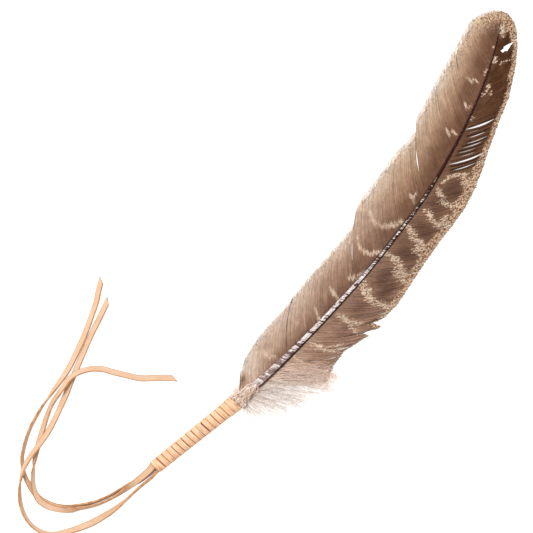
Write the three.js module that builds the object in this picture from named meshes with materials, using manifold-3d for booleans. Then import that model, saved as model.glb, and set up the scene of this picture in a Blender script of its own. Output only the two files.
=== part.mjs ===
// A turkey wing feather lying flat. Its quill is wound with a flat leather lace, and three
// tails of the same lace lie in loose loops beside it. Millimetres, +Z up, z = 0 is the surface.
//
// Everything is laid out from the lower end of the quill: +X runs to the feather's tip, +Y to
// the side of the vane that has the plain soft edge. ORIGIN then moves it all.
import * as THREE from 'three';
import { mergeVertices } from 'three/addons/utils/BufferGeometryUtils.js';
import Module from 'manifold-3d';

const wasm = await Module();
wasm.setup();

// The origin: the middle of feather and wrap seen from above, on the surface they lie on.
const ORIGIN = new THREE.Vector3(158.5, -22.3, 0);

// The shaft, from the end of the quill to the tip: x, y and z of its middle line, radius.
const SHAFT = [
  [1.5, -0.4, 3.5, 2.15],
  [20, -5.1, 3.7, 2.35],
  [40, -10.2, 3.9, 2.55],
  [56, -14.2, 4.05, 2.7],
  [78, -19, 4.2, 2.4],
  [103, -23, 4.2, 2.05],
  [130, -26.2, 4, 1.7],
  [157, -28.6, 3.7, 1.4],
  [185, -29.4, 3.4, 1.15],
  [214, -28.7, 3, 0.95],
  [244, -25, 2.5, 0.75],
  [268, -20.2, 1.9, 0.6],
  [291, -13.2, 1.3, 0.45],
  [308.5, -5.7, 0.8, 0.35],
];
const SHAFT_SIDES = 12;
const SHAFT_STEPS = 44;

// Barbs from the base to the tip, on the plain side and on the barred side: x on the shaft
// where the barb grows, then x and y of its end. Neighbouring rows that step back are splits.
const PLAIN_SIDE = [
  [59, 62, -12.5],
  [60, 66, -9],
  [61, 71, -5.5],
  [64, 79, -3.5],
  [69, 91.5, -2.5],
  [85, 110, -4.5],
  [104, 131.5, -4.5],
  [126, 153, -6.5],
  [145.5, 173, -7],
  [149.5, 181, -3],
  [162, 194, -2.5],
  [183, 214.5, -1.5],
  [207, 233, -4],
  [213, 240, -1],
  [238, 262.5, 4],
  [265, 285.5, 6.5],
  [287, 300, 9],
  [300, 309, 5.5],
  [308, 315, 0],
];
const BARRED_SIDE = [
  [84, 104, -45],
  [94, 113.5, -45],
  [106, 128, -50.5],
  [109, 128.5, -47],
  [112, 136, -52.5],
  [116, 136.5, -48],
  [119, 142, -51.5],
  [130, 153.5, -53],
  [146, 168, -51.5],
  [172, 194.5, -50.5],
  [193, 217, -50.5],
  [205, 229, -48.5],
  [217, 239.5, -45.5],
  [250, 269.5, -36],
  [279, 296.5, -25.5],
  [295, 309, -17],
  [300, 313.5, -14],
  [308, 316, -6.5],
];
const VANE_THICKNESS = 0.5;
const VANE_EDGE_HEIGHT = 0.05;
const VANE_CELLS = 4;
const ROWS_PER_BARB = 2;

// The down under the base of the vane: the outline that its tips reach.
const DOWN_OUTLINE = [
  [57, -13], [52.5, -20], [55, -33], [64, -43.5], [74, -46], [87, -52.5],
  [99, -53], [109, -46], [98, -30], [80, -18],
];
const DOWN_OUTLINE_STEPS = 36;
const DOWN_BOTTOM = 0.1;
const DOWN_THICKNESS = 2.2;

// The lace is cut flat, with slightly rounded edges. Wound on the quill it is pulled narrower
// and keeps clear of it by SLACK, and its turns lie side by side.
const LACE_WIDTH = 3.4;
const WOUND_WIDTH = 3;
const LACE_THICKNESS = 1.2;
const LACE_CHAMFER = 0.25;
const SLACK = 0.4;
const WRAP_LENGTH = 56.5;
const WRAP_TURNS = 15.5;
const STEPS_PER_TURN = 14;
const FLAT_CUTTER = 120;

// The tails, from the wrap to the cut end: x, y and z of the middle line, and roll in degrees.
// A positive roll lifts the edge on the right as one walks along the tail.
const TAIL_INNER = [
  [-0.3, 0.4, 3.1, 0],
  [-2.6, 0.5, 3.1, 0],
  [-5.8, 1.1, 2.8, 2],
  [-11.9, 3, 2.07, 12],
  [-17.7, 6, 1.88, 45],
  [-23.7, 8.7, 1.88, 70],
  [-28.9, 11.1, 1.89, 74],
  [-33.7, 13.9, 1.86, 72],
  [-37.9, 17, 1.84, 68],
  [-41.9, 20.5, 1.8, 58],
  [-46, 24.2, 1.6, 38],
  [-49.9, 30, 0.96, 10],
  [-51.7, 36, 0.68, 0],
  [-52, 41.5, 1.06, -14],
  [-50.4, 47, 1.35, -26],
  [-48, 52.5, 1.8, -58],
  [-45, 57, 1.83, -67],
  [-40.5, 61, 1.83, -68],
  [-36, 63.5, 1.83, -69],
  [-25, 67.5, 1.84, -70],
  [-12, 69.5, 1.86, -78],
  [-5.5, 69.7, 1.86, -98],
  [0.5, 70, 1.8, -128],
  [7, 70.2, 1.52, -147],
  [13.5, 70.5, 1.35, -158],
  [21, 71.7, 1.5, -158],
  [29.5, 73.5, 1.6, -158],
  [37.5, 75.5, 1.5, -158],
  [45.5, 78, 1.27, -158],
  [53, 80.5, 1.25, -158],
  [59.5, 83.5, 1.25, -158],
  [66, 86, 1.25, -158],
];
const TAIL_OUTER = [
  [-0.3, -2.5, 3.4, -76],
  [-5, -2.1, 3.1, -78],
  [-12.5, -0.3, 2.4, -80],
  [-19.5, 1.1, 1.95, -80],
  [-25, 2.1, 1.85, -72],
  [-32.5, 4, 1.7, -42],
  [-40, 6.8, 1.4, -26],
  [-46.5, 9.8, 1.25, -22],
  [-52.5, 13.5, 1.3, -25],
  [-58, 17.5, 1.4, -30],
  [-63, 22, 1.6, -40],
  [-66, 28, 1.8, -55],
  [-66.3, 35, 1.84, -64],
  [-64.3, 41.5, 1.9, -66],
  [-60, 47.5, 2.5, -68],
  [-54.5, 52, 4.3, -76],
  [-48.5, 55.3, 5.6, -112],
  [-42.8, 57.3, 5.5, -128],
  [-36, 58.2, 4.9, -142],
  [-28.5, 58.2, 4.9, -152],
  [-19.5, 58.6, 3.45, -160],
  [-12.5, 59.8, 1.8, -160],
  [-5, 61.4, 1.2, -160],
  [2, 63, 1.2, -160],
  [9, 65, 1.2, -160],
  [16, 66.7, 1.2, -160],
  [23, 68.5, 1.2, -160],
  [30.5, 70.3, 1.2, -160],
  [38, 72, 1.2, -160],
  [46, 73.5, 1.2, -160],
  [53.5, 75, 1.2, -160],
  [59.5, 76, 1.2, -160],
];
const TAIL_CROSSING = [
  [-0.3, 1.5, 5, 0],
  [-2.6, 1.5, 4.9, 0],
  [-5.8, 2, 4.7, 2],
  [-12.1, 3.5, 3.93, 12],
  [-18.2, 5.2, 3.22, 45],
  [-24.3, 7.1, 2.52, 70],
  [-29.7, 9.5, 2.41, 74],
  [-34.7, 12.3, 2.44, 72],
  [-39.1, 15.6, 2.56, 68],
  [-42.9, 19.3, 2.8, 58],
  [-47.1, 23.1, 3.2, 36],
  [-50.9, 29.6, 2.7, 10],
  [-52.9, 35.5, 2.7, -5],
  [-52.5, 40.7, 3.3, -25],
  [-50, 45.3, 3.45, -44],
  [-46.5, 49, 2.7, -60],
  [-42.3, 52, 1.9, -72],
  [-37.5, 54.8, 1.86, -118],
  [-32, 57.4, 1.55, -145],
  [-27, 59.5, 1.35, -155],
  [-20.5, 61.9, 1.46, -150],
  [-14, 64.2, 1.66, -138],
  [-7.5, 66, 1.85, -132],
  [-1.5, 66.5, 2.6, -132],
  [4.8, 66.6, 3.8, -138],
  [10.8, 66.8, 4.1, -145],
  [16.5, 64.7, 4, -150],
  [21.5, 61, 2.8, -158],
  [25.5, 55.7, 1.6, -165],
  [28, 49.5, 1.05, -170],
  [31, 42.5, 0.88, -173],
  [34, 36, 0.82, -175],
  [39, 29.5, 0.75, -178],
  [43.5, 23.5, 0.7, -180],
  [46.5, 19, 0.7, -180],
];
const TAIL_STEPS = 34;

const FEATHER_BROWN = new THREE.MeshStandardMaterial({ color: 0xa9856b, roughness: 0.75, metalness: 0 });
const LACE_TAN = new THREE.MeshStandardMaterial({ color: 0xf0c9a4, roughness: 0.85, metalness: 0 });

// The row of a table at x, by a smooth curve through the rows.
function rowAt(table, x) {
  const last = table.length - 1;
  const i = THREE.MathUtils.clamp(table.findIndex((row) => row[0] > x) - 1, 0, last - 1);
  const found = x >= table[last][0] ? last - 1 : i;
  const span = table[found + 1][0] - table[found][0];
  const t = THREE.MathUtils.clamp((x - table[found][0]) / span, 0, 1);
  const slope = (k, column) => {
    const before = table[Math.max(k - 1, 0)];
    const after = table[Math.min(k + 1, last)];
    return ((after[column] - before[column]) / (after[0] - before[0])) * span;
  };
  return table[found].map((value, column) => {
    const next = table[found + 1][column];
    const a = slope(found, column);
    const b = slope(found + 1, column);
    const rise = next - value;
    return value + a * t + (3 * rise - 2 * a - b) * t ** 2 + (a + b - 2 * rise) * t ** 3;
  });
}

// Moves each vertex of a geometry to where place puts it.
function mapVertices(geometry, place) {
  const positions = geometry.getAttribute('position');
  const point = new THREE.Vector3();
  for (let i = 0; i < positions.count; i += 1) {
    point.fromBufferAttribute(positions, i);
    positions.setXYZ(i, ...place(point).toArray());
  }
  return geometry;
}

// A geometry as one closed solid whose faces share their vertices.
function toSolid(geometry) {
  const closed = geometry.clone();
  closed.deleteAttribute('normal');
  closed.deleteAttribute('uv');
  const merged = mergeVertices(closed, 1e-4);
  return new wasm.Manifold(new wasm.Mesh({
    numProp: 3,
    vertProperties: new Float32Array(merged.getAttribute('position').array),
    triVerts: new Uint32Array(merged.getIndex().array),
  }));
}

function fromSolid(solid) {
  const { vertProperties, triVerts } = solid.getMesh();
  const geometry = new THREE.BufferGeometry();
  geometry.setAttribute('position', new THREE.BufferAttribute(vertProperties, 3));
  geometry.setIndex(new THREE.BufferAttribute(triVerts, 1));
  return geometry;
}

// The shaft: a round bar that thins and bends from the quill to the tip.
function shaftGeometry() {
  const bar = new THREE.CylinderGeometry(1, 1, 1, SHAFT_SIDES, SHAFT_STEPS);
  const start = SHAFT[0][0];
  const length = SHAFT[SHAFT.length - 1][0] - start;
  return mapVertices(bar, (p) => {
    const [x, y, z, radius] = rowAt(SHAFT, start + (0.5 - p.y) * length);
    return new THREE.Vector3(x, y + p.x * radius, z + p.z * radius);
  });
}

// The vane: one thin sheet whose rows are barbs, up the plain side, round the tip and down the
// barred side. It falls from the shaft to its edge, which touches the surface.
function vaneGeometry() {
  const barbs = [
    ...PLAIN_SIDE.map((barb) => ({ barb, side: 1 })),
    ...BARRED_SIDE.toReversed().map((barb) => ({ barb, side: -1 })),
  ];
  const rows = (barbs.length - 1) * ROWS_PER_BARB;
  const sheet = new THREE.BoxGeometry(1, 1, 1, rows, VANE_CELLS, 1);
  return mapVertices(sheet, (p) => {
    const at = (p.x + 0.5) * (barbs.length - 1);
    const i = Math.min(Math.floor(at), barbs.length - 2);
    const [from, to] = [barbs[i], barbs[i + 1]];
    const mix = (k) => THREE.MathUtils.lerp(from.barb[k], to.barb[k], at - i);
    const side = THREE.MathUtils.lerp(from.side, to.side, at - i);
    const [x, y, z, radius] = rowAt(SHAFT, mix(0));
    const out = p.y + 0.5;
    const edge = VANE_EDGE_HEIGHT + VANE_THICKNESS / 2;
    return new THREE.Vector3(
      THREE.MathUtils.lerp(x, mix(1), out),
      THREE.MathUtils.lerp(y + side * radius * 0.4, mix(2), out),
      THREE.MathUtils.lerp(z, edge, out ** 1.6) + p.z * VANE_THICKNESS,
    );
  });
}

function downGeometry() {
  const outline = new THREE.CatmullRomCurve3(
    DOWN_OUTLINE.map(([x, y]) => new THREE.Vector3(x, y, 0)), true);
  const shape = new THREE.Shape(outline.getPoints(DOWN_OUTLINE_STEPS).slice(0, -1));
  const pad = new THREE.ExtrudeGeometry(shape, { depth: DOWN_THICKNESS, bevelEnabled: false });
  return pad.translate(0, 0, DOWN_BOTTOM);
}

function featherGeometry() {
  return fromSolid(toSolid(shaftGeometry()).add(toSolid(vaneGeometry())).add(toSolid(downGeometry())));
}

// A path that carries the lace's section: frameAt gives the direction of the section's
// thickness, and its width lies square to that and to the path.
class LacePath extends THREE.Curve {
  computeFrenetFrames(segments) {
    const frames = { tangents: [], normals: [], binormals: [] };
    for (let i = 0; i <= segments; i += 1) {
      const u = i / segments;
      const tangent = this.getTangentAt(u);
      const normal = this.thicknessAt(u, tangent);
      frames.tangents.push(tangent);
      frames.normals.push(normal);
      frames.binormals.push(new THREE.Vector3().crossVectors(tangent, normal));
    }
    return frames;
  }
}

class TailPath extends LacePath {
  constructor(route) {
    super();
    this.route = route;
    const points = route.map(([x, y, z]) => new THREE.Vector3(x, y, z));
    this.line = new THREE.CatmullRomCurve3(points, false, 'catmullrom', 0.5);
  }

  getPoint(t) {
    return this.line.getPoint(t);
  }

  thicknessAt(u, tangent) {
    const at = this.getUtoTmapping(u) * (this.route.length - 1);
    const i = Math.min(Math.floor(at), this.route.length - 2);
    const roll = THREE.MathUtils.lerp(this.route[i][3], this.route[i + 1][3], at - i);
    const right = new THREE.Vector3().crossVectors(tangent, new THREE.Vector3(0, 0, 1)).normalize();
    const flat = new THREE.Vector3().crossVectors(right, tangent);
    return flat.applyAxisAngle(tangent, -THREE.MathUtils.degToRad(roll));
  }
}

class WrapPath extends LacePath {
  constructor() {
    super();
    const [start, end] = [SHAFT[0], SHAFT[3]].map(([x, y, z]) => new THREE.Vector3(x, y, z));
    this.along = end.clone().sub(start).normalize();
    this.start = start.addScaledVector(this.along, WOUND_WIDTH / 2 - start.x + SLACK);
    this.side = new THREE.Vector3(0, 0, 1).cross(this.along).normalize();
    this.up = new THREE.Vector3().crossVectors(this.along, this.side);
  }

  outwards(t) {
    const angle = t * WRAP_TURNS * 2 * Math.PI;
    return this.side.clone().multiplyScalar(Math.cos(angle)).addScaledVector(this.up, Math.sin(angle));
  }

  getPoint(t) {
    const advance = t * (WRAP_LENGTH - WOUND_WIDTH);
    const axis = this.start.clone().addScaledVector(this.along, advance);
    const radius = rowAt(SHAFT, axis.x)[3] + SLACK + LACE_THICKNESS / 2;
    return axis.addScaledVector(this.outwards(t), radius);
  }

  thicknessAt(u, tangent) {
    const outwards = this.outwards(this.getUtoTmapping(u));
    return outwards.addScaledVector(tangent, -outwards.dot(tangent)).normalize();
  }
}

// The lace's section, across its thickness and its width.
function laceSection() {
  const [t, w, c] = [LACE_THICKNESS / 2, LACE_WIDTH / 2, LACE_CHAMFER];
  return new THREE.Shape([
    new THREE.Vector2(t, c - w), new THREE.Vector2(t, w - c),
    new THREE.Vector2(t - c, w), new THREE.Vector2(c - t, w),
    new THREE.Vector2(-t, w - c), new THREE.Vector2(-t, c - w),
    new THREE.Vector2(c - t, -w), new THREE.Vector2(t - c, -w),
  ]);
}

// The wound lace has only its outer edges rounded, so its turns meet in shallow grooves.
function woundSection() {
  const [t, w, c] = [LACE_THICKNESS / 2, WOUND_WIDTH / 2, LACE_CHAMFER];
  return new THREE.Shape([
    new THREE.Vector2(t, c - w), new THREE.Vector2(t, w - c), new THREE.Vector2(t - c, w),
    new THREE.Vector2(-t, w), new THREE.Vector2(-t, -w), new THREE.Vector2(t - c, -w),
  ]);
}

function tailGeometry(route) {
  return new THREE.ExtrudeGeometry(laceSection(), { steps: TAIL_STEPS, extrudePath: new TailPath(route) });
}

function wrapGeometry() {
  const steps = Math.round(WRAP_TURNS * STEPS_PER_TURN);
  const wound = new THREE.ExtrudeGeometry(woundSection(), { steps, extrudePath: new WrapPath() });
  const below = new THREE.BoxGeometry(FLAT_CUTTER, FLAT_CUTTER, 2);
  below.translate(FLAT_CUTTER / 4, 0, -1);
  return fromSolid(toSolid(wound).subtract(toSolid(below)));
}

function piece(name, geometry, material) {
  const mesh = new THREE.Mesh(geometry, material.clone());
  mesh.name = name;
  return mesh;
}

const object = new THREE.Group();
object.add(
  piece('feather', featherGeometry(), FEATHER_BROWN),
  piece('quill_wrap', wrapGeometry(), LACE_TAN),
  piece('lace_tail_inner', tailGeometry(TAIL_INNER), LACE_TAN),
  piece('lace_tail_outer', tailGeometry(TAIL_OUTER), LACE_TAN),
  piece('lace_tail_crossing', tailGeometry(TAIL_CROSSING), LACE_TAN),
);
object.position.copy(ORIGIN).negate();

export default object;
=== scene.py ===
import math

import bpy
import numpy as np
from mathutils import Matrix, Vector


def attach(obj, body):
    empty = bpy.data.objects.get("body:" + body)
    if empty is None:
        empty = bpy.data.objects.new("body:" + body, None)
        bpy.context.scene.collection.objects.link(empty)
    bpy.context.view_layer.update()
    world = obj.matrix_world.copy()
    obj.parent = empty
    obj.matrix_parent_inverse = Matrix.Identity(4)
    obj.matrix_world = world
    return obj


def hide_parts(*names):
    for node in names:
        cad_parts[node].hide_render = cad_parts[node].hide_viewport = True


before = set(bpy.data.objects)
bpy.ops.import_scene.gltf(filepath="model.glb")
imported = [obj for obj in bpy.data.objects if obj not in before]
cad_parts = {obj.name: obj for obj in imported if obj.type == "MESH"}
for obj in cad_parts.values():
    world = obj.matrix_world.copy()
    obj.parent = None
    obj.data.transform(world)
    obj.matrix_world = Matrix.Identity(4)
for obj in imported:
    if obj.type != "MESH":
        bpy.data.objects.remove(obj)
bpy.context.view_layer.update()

# Positions below are laid out from the lower end of the quill, in millimetres: x runs to the
# feather's tip, y to the plain side of the vane. They are moved to the part's own origin.
MM = 0.001
ORIGIN = np.array([158.5, -22.3, 0.0])


def to_frame(points):
    return (np.asarray(points, float) - ORIGIN) * MM


# ---------------------------------------------------------------- camera
# It looks straight down. RIGHT and UP are the picture's directions on the surface.
TURN = math.radians(53)
RIGHT = Vector((math.cos(TURN), -math.sin(TURN), 0))
UP = Vector((math.sin(TURN), math.cos(TURN), 0))
CENTRE = Vector(to_frame([125.0, 17.4, 2.0]))
VIEW_WIDTH = 293.15 * MM
CAMERA_HEIGHT = 1.5
camera_data = bpy.data.cameras.new("camera")
camera_data.sensor_width = 36
camera_data.lens = 36 * CAMERA_HEIGHT / VIEW_WIDTH
camera_data.clip_end = 20
camera = bpy.data.objects.new("camera", camera_data)
camera.matrix_world = Matrix((
    (RIGHT.x, UP.x, 0, CENTRE.x),
    (RIGHT.y, UP.y, 0, CENTRE.y),
    (RIGHT.z, UP.z, 1, CENTRE.z + CAMERA_HEIGHT),
    (0, 0, 0, 1),
))
scene = bpy.context.scene
scene.collection.objects.link(camera)
scene.camera = camera


# ---------------------------------------------------------------- meshes
def new_piece(name, rings, faces, attributes, material, node="feather", bake_map=None):
    """A smooth piece that stands for a CAD node, through points (..., 3) in the layout's mm.

    An attribute is one value for each point, or a tuple of three for a vector.
    """
    mesh = bpy.data.meshes.new(name)
    mesh.from_pydata(to_frame(rings.reshape(-1, 3)), [], faces)
    mesh.polygons.foreach_set("use_smooth", np.ones(len(mesh.polygons), bool))
    for key, values in attributes.items():
        vector = isinstance(values, tuple)
        parts = [np.broadcast_to(v, rings.shape[:-1]) for v in (values if vector else [values])]
        layer = mesh.attributes.new(key, "FLOAT_VECTOR" if vector else "FLOAT", "POINT")
        flat = np.stack(parts, -1).astype(np.float32).ravel()
        layer.data.foreach_set("vector" if vector else "value", flat)
    if bake_map is not None:
        layer = mesh.uv_layers.new(name="OFBake")
        layer.data.foreach_set("uv", np.asarray(bake_map, np.float32).ravel())
    mesh.materials.append(material)
    mesh.update()
    piece = bpy.data.objects.new(name, mesh)
    scene.collection.objects.link(piece)
    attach(piece, "root")
    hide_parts(node)
    return piece


def normalised(vectors):
    return vectors / np.maximum(np.linalg.norm(vectors, axis=-1, keepdims=True), 1e-12)


def loft(rings):
    """Faces of a closed bar through rings of equal size: (n, m, 3) points, both ends capped."""
    n, m = rings.shape[:2]
    ids = np.arange(n * m).reshape(n, m)
    after = np.roll(ids, -1, axis=1)
    sides = np.stack([ids[:-1], after[:-1], after[1:], ids[1:]], axis=-1).reshape(-1, 4)
    faces = [tuple(face) for face in sides.tolist()]
    return faces + [tuple(ids[0][::-1].tolist()), tuple(ids[-1].tolist())]


def rows_at(table, x):
    """The row of a table at each x, by a smooth curve through the rows."""
    table = np.asarray(table, float)
    x = np.clip(np.asarray(x, float), table[0, 0], table[-1, 0])
    i = np.clip(np.searchsorted(table[:, 0], x, side="right") - 1, 0, len(table) - 2)
    span = table[i + 1, 0] - table[i, 0]
    t = ((x - table[i, 0]) / span)[..., None]

    def slope(k):
        before, after = np.maximum(k - 1, 0), np.minimum(k + 1, len(table) - 1)
        run = (table[after, 0] - table[before, 0])[..., None]
        return (table[after] - table[before]) / run * span[..., None]

    a, b, rise = slope(i), slope(i + 1), table[i + 1] - table[i]
    return table[i] + a * t + (3 * rise - 2 * a - b) * t**2 + (a + b - 2 * rise) * t**3


def smoothstep(low, high, x):
    t = np.clip((x - low) / (high - low), 0, 1)
    return t * t * (3 - 2 * t)


# ---------------------------------------------------------------- materials
# The light on a surface that faces up. Colours are given as they look in it, 0 to 255.
LIGHT = 1.8
GLARE = 0.014


def colour(red, green, blue):
    def surface(c):
        c /= 255
        linear = c / 12.92 if c <= 0.04045 else ((c + 0.055) / 1.055) ** 2.4
        return max(linear - GLARE, 0.002) / LIGHT

    return (surface(red), surface(green), surface(blue), 1.0)


class Graph:
    """A material's node graph, built from small calls."""

    def __init__(self, name, roughness, specular=0.3, sheen=0.0):
        self.material = bpy.data.materials.new(name)
        self.material.use_nodes = True
        self.nodes = self.material.node_tree.nodes
        self.links = self.material.node_tree.links
        self.shader = self.nodes["Principled BSDF"]
        self.shader.inputs["Roughness"].default_value = roughness
        self.shader.inputs["Specular IOR Level"].default_value = specular
        self.shader.inputs["Sheen Weight"].default_value = sheen

    def put(self, socket, value):
        if isinstance(value, bpy.types.NodeSocket):
            self.links.new(value, socket)
        else:
            socket.default_value = value

    def attribute(self, name, vector=False):
        node = self.nodes.new("ShaderNodeAttribute")
        node.attribute_name = name
        return node.outputs["Vector" if vector else "Fac"]

    def place(self):
        return self.nodes.new("ShaderNodeTexCoord").outputs["Object"]

    def math(self, operation, a, b):
        node = self.nodes.new("ShaderNodeMath")
        node.operation = operation
        self.put(node.inputs[0], a)
        self.put(node.inputs[1], b)
        return node.outputs[0]

    def plus(self, a, b):
        return self.math("ADD", a, b)

    def minus(self, a, b):
        return self.math("SUBTRACT", a, b)

    def times(self, a, b):
        return self.math("MULTIPLY", a, b)

    def stretch(self, vector, scale):
        node = self.nodes.new("ShaderNodeVectorMath")
        node.operation = "MULTIPLY"
        self.put(node.inputs[0], vector)
        node.inputs[1].default_value = scale
        return node.outputs[0]

    def noise(self, vector, scale, detail=3.0, roughness=0.5, distortion=0.0):
        node = self.nodes.new("ShaderNodeTexNoise")
        self.put(node.inputs["Vector"], self.stretch(vector, scale))
        node.inputs["Scale"].default_value = 1.0
        node.inputs["Detail"].default_value = detail
        node.inputs["Roughness"].default_value = roughness
        node.inputs["Distortion"].default_value = distortion
        return node.outputs["Fac"]

    def step(self, value, low, high):
        """Goes smoothly from 0 at low to 1 at high."""
        node = self.nodes.new("ShaderNodeMapRange")
        node.interpolation_type = "SMOOTHSTEP"
        self.put(node.inputs["Value"], value)
        self.put(node.inputs["From Min"], low)
        self.put(node.inputs["From Max"], high)
        return node.outputs["Result"]

    def ramp(self, value, stops):
        """A colour for each value from 0 to 1, through stops of value and colour."""
        node = self.nodes.new("ShaderNodeValToRGB")
        elements = node.color_ramp.elements
        elements.remove(elements[1])
        elements[0].position, elements[0].color = stops[0]
        for at, tint in stops[1:]:
            elements.new(at).color = tint
        self.put(node.inputs["Fac"], value)
        return node.outputs["Color"]

    def shades(self, value, stops):
        """A ramp through stops of value, red, green and blue, as they look in the light."""
        return self.ramp(value, [(at, colour(*rgb)) for at, *rgb in stops])

    def levels(self, value, stops):
        """A number for each value from 0 to 1, through stops of value and number."""
        return self.ramp(value, [(at, (level, level, level, 1)) for at, level in stops])

    def mix(self, factor, a, b, blend="MIX"):
        node = self.nodes.new("ShaderNodeMix")
        node.data_type = "RGBA"
        node.blend_type = blend
        self.put(node.inputs["Factor"], factor)
        self.put(node.inputs["A"], a)
        self.put(node.inputs["B"], b)
        return node.outputs["Result"]

    def lay(self, tint, over, cover, share):
        """Lays a colour over a tint, by a cover of 0 to 1 and its share."""
        return self.mix(self.times(cover, share), tint, over)

    def brighten(self, tint, amount):
        """Multiplies a colour by a value."""
        grey = self.nodes.new("ShaderNodeCombineColor")
        for channel in ("Red", "Green", "Blue"):
            self.put(grey.inputs[channel], amount)
        return self.mix(1.0, tint, grey.outputs["Color"], "MULTIPLY")

    def spread(self, noise, amount):
        """1 plus or minus amount, by a noise of 0 to 1."""
        return self.plus(self.times(noise, 2 * amount), 1 - amount)

    def bump(self, height, distance, strength=1.0):
        node = self.nodes.new("ShaderNodeBump")
        node.inputs["Distance"].default_value = distance
        node.inputs["Strength"].default_value = strength
        self.put(node.inputs["Height"], height)
        self.put(self.shader.inputs["Normal"], node.outputs["Normal"])

    def finish(self, tint, roughness=None):
        self.put(self.shader.inputs["Base Color"], tint)
        if roughness is not None:
            self.put(self.shader.inputs["Roughness"], roughness)
        return self.material


def leather():
    """Undyed lace: pale smooth faces, cut edges of browner fibre, fine pores and creases, with
    painted shade in the creases, in the winding's grooves and on its side away from the light.
    """
    g = Graph("lace_leather", 0.75, specular=0.2, sheen=0.1)
    lie = g.attribute("lace", vector=True)  # along, across and a value for each piece, in mm
    wall, painted_shade, bent, painted_shade_side, wear_and_crease_shade = (
        g.attribute(k) for k in ("wall", "painted_shade", "bent", "painted_shade_side", "wear_and_crease_shade"))
    fibre = g.noise(lie, (0.35, 3.5, 1.0), detail=4)
    crease = g.noise(lie, (0.2, 1.5, 1.0), detail=3, roughness=0.6, distortion=0.3)
    cloud = g.noise(lie, (0.09, 0.25, 1.0), detail=2)
    pores = g.noise(g.place(), (4200, 4200, 4200), detail=3, roughness=0.6)
    blotch = g.noise(g.place(), (900, 900, 900), detail=3, roughness=0.6)
    face = g.mix(g.step(cloud, 0.3, 0.7), FACE_DARK, FACE_LIGHT)
    # Painted shade: the winding's side away from the light is tinted deeper orange.
    face = g.lay(face, PAINTED_SHADE_ORANGE, painted_shade_side, 0.85)
    face = g.lay(face, FACE_DEEP, g.step(fibre, 0.5, 0.7), 0.4)
    much = g.plus(g.times(bent, 0.65), 0.1)
    # Painted shade: crease lines darken where the bump sinks and, on the winding, in the troughs of
    # its creases; on the tails the same colour marks handled wear.
    face = g.mix(g.times(g.step(crease, 0.52, 0.62), much), face, CREASE_WEAR_AND_SHADE)
    face = g.lay(face, CREASE_WEAR_AND_SHADE, wear_and_crease_shade, 0.5)
    face = g.brighten(face, g.spread(blotch, 0.12))
    face = g.brighten(face, g.plus(g.times(bent, 0.2), 1.0))
    edge = g.mix(g.step(fibre, 0.35, 0.65), EDGE_DARK, EDGE_LIGHT)
    tint = g.mix(wall, face, edge)
    rim = g.times(g.step(wall, 0.1, 0.45), g.step(wall, 1.0, 0.7))
    tint = g.lay(tint, EDGE_RIM, rim, 0.65)
    # Painted shade in the grooves between the turns of the winding.
    tint = g.mix(painted_shade, tint, GROOVE_SHADE)
    tint = g.brighten(tint, g.spread(pores, 0.08))
    relief = g.plus(g.times(pores, 0.5), g.times(crease, -2.0))
    g.bump(g.plus(relief, fibre), 0.0001, 0.7)
    return g.finish(tint, g.plus(g.times(pores, 0.2), 0.62))


FACE_LIGHT = colour(253, 216, 184)
FACE_DARK = colour(248, 203, 165)
FACE_DEEP = colour(226, 174, 130)
PAINTED_SHADE_ORANGE = (0.6, 0.37, 0.225, 1)
CREASE_WEAR_AND_SHADE = colour(214, 146, 98)
EDGE_LIGHT = colour(240, 186, 138)
EDGE_DARK = colour(202, 142, 92)
EDGE_RIM = colour(186, 118, 66)
GROOVE_SHADE = (0.66, 0.29, 0.11, 1)
LEATHER = leather()

# ---------------------------------------------------------------- lace
LACE_WIDTH = 3.4
LACE_THICKNESS = 1.2
LACE_CORNER = 0.48
LACE_STEPS = 260

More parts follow.
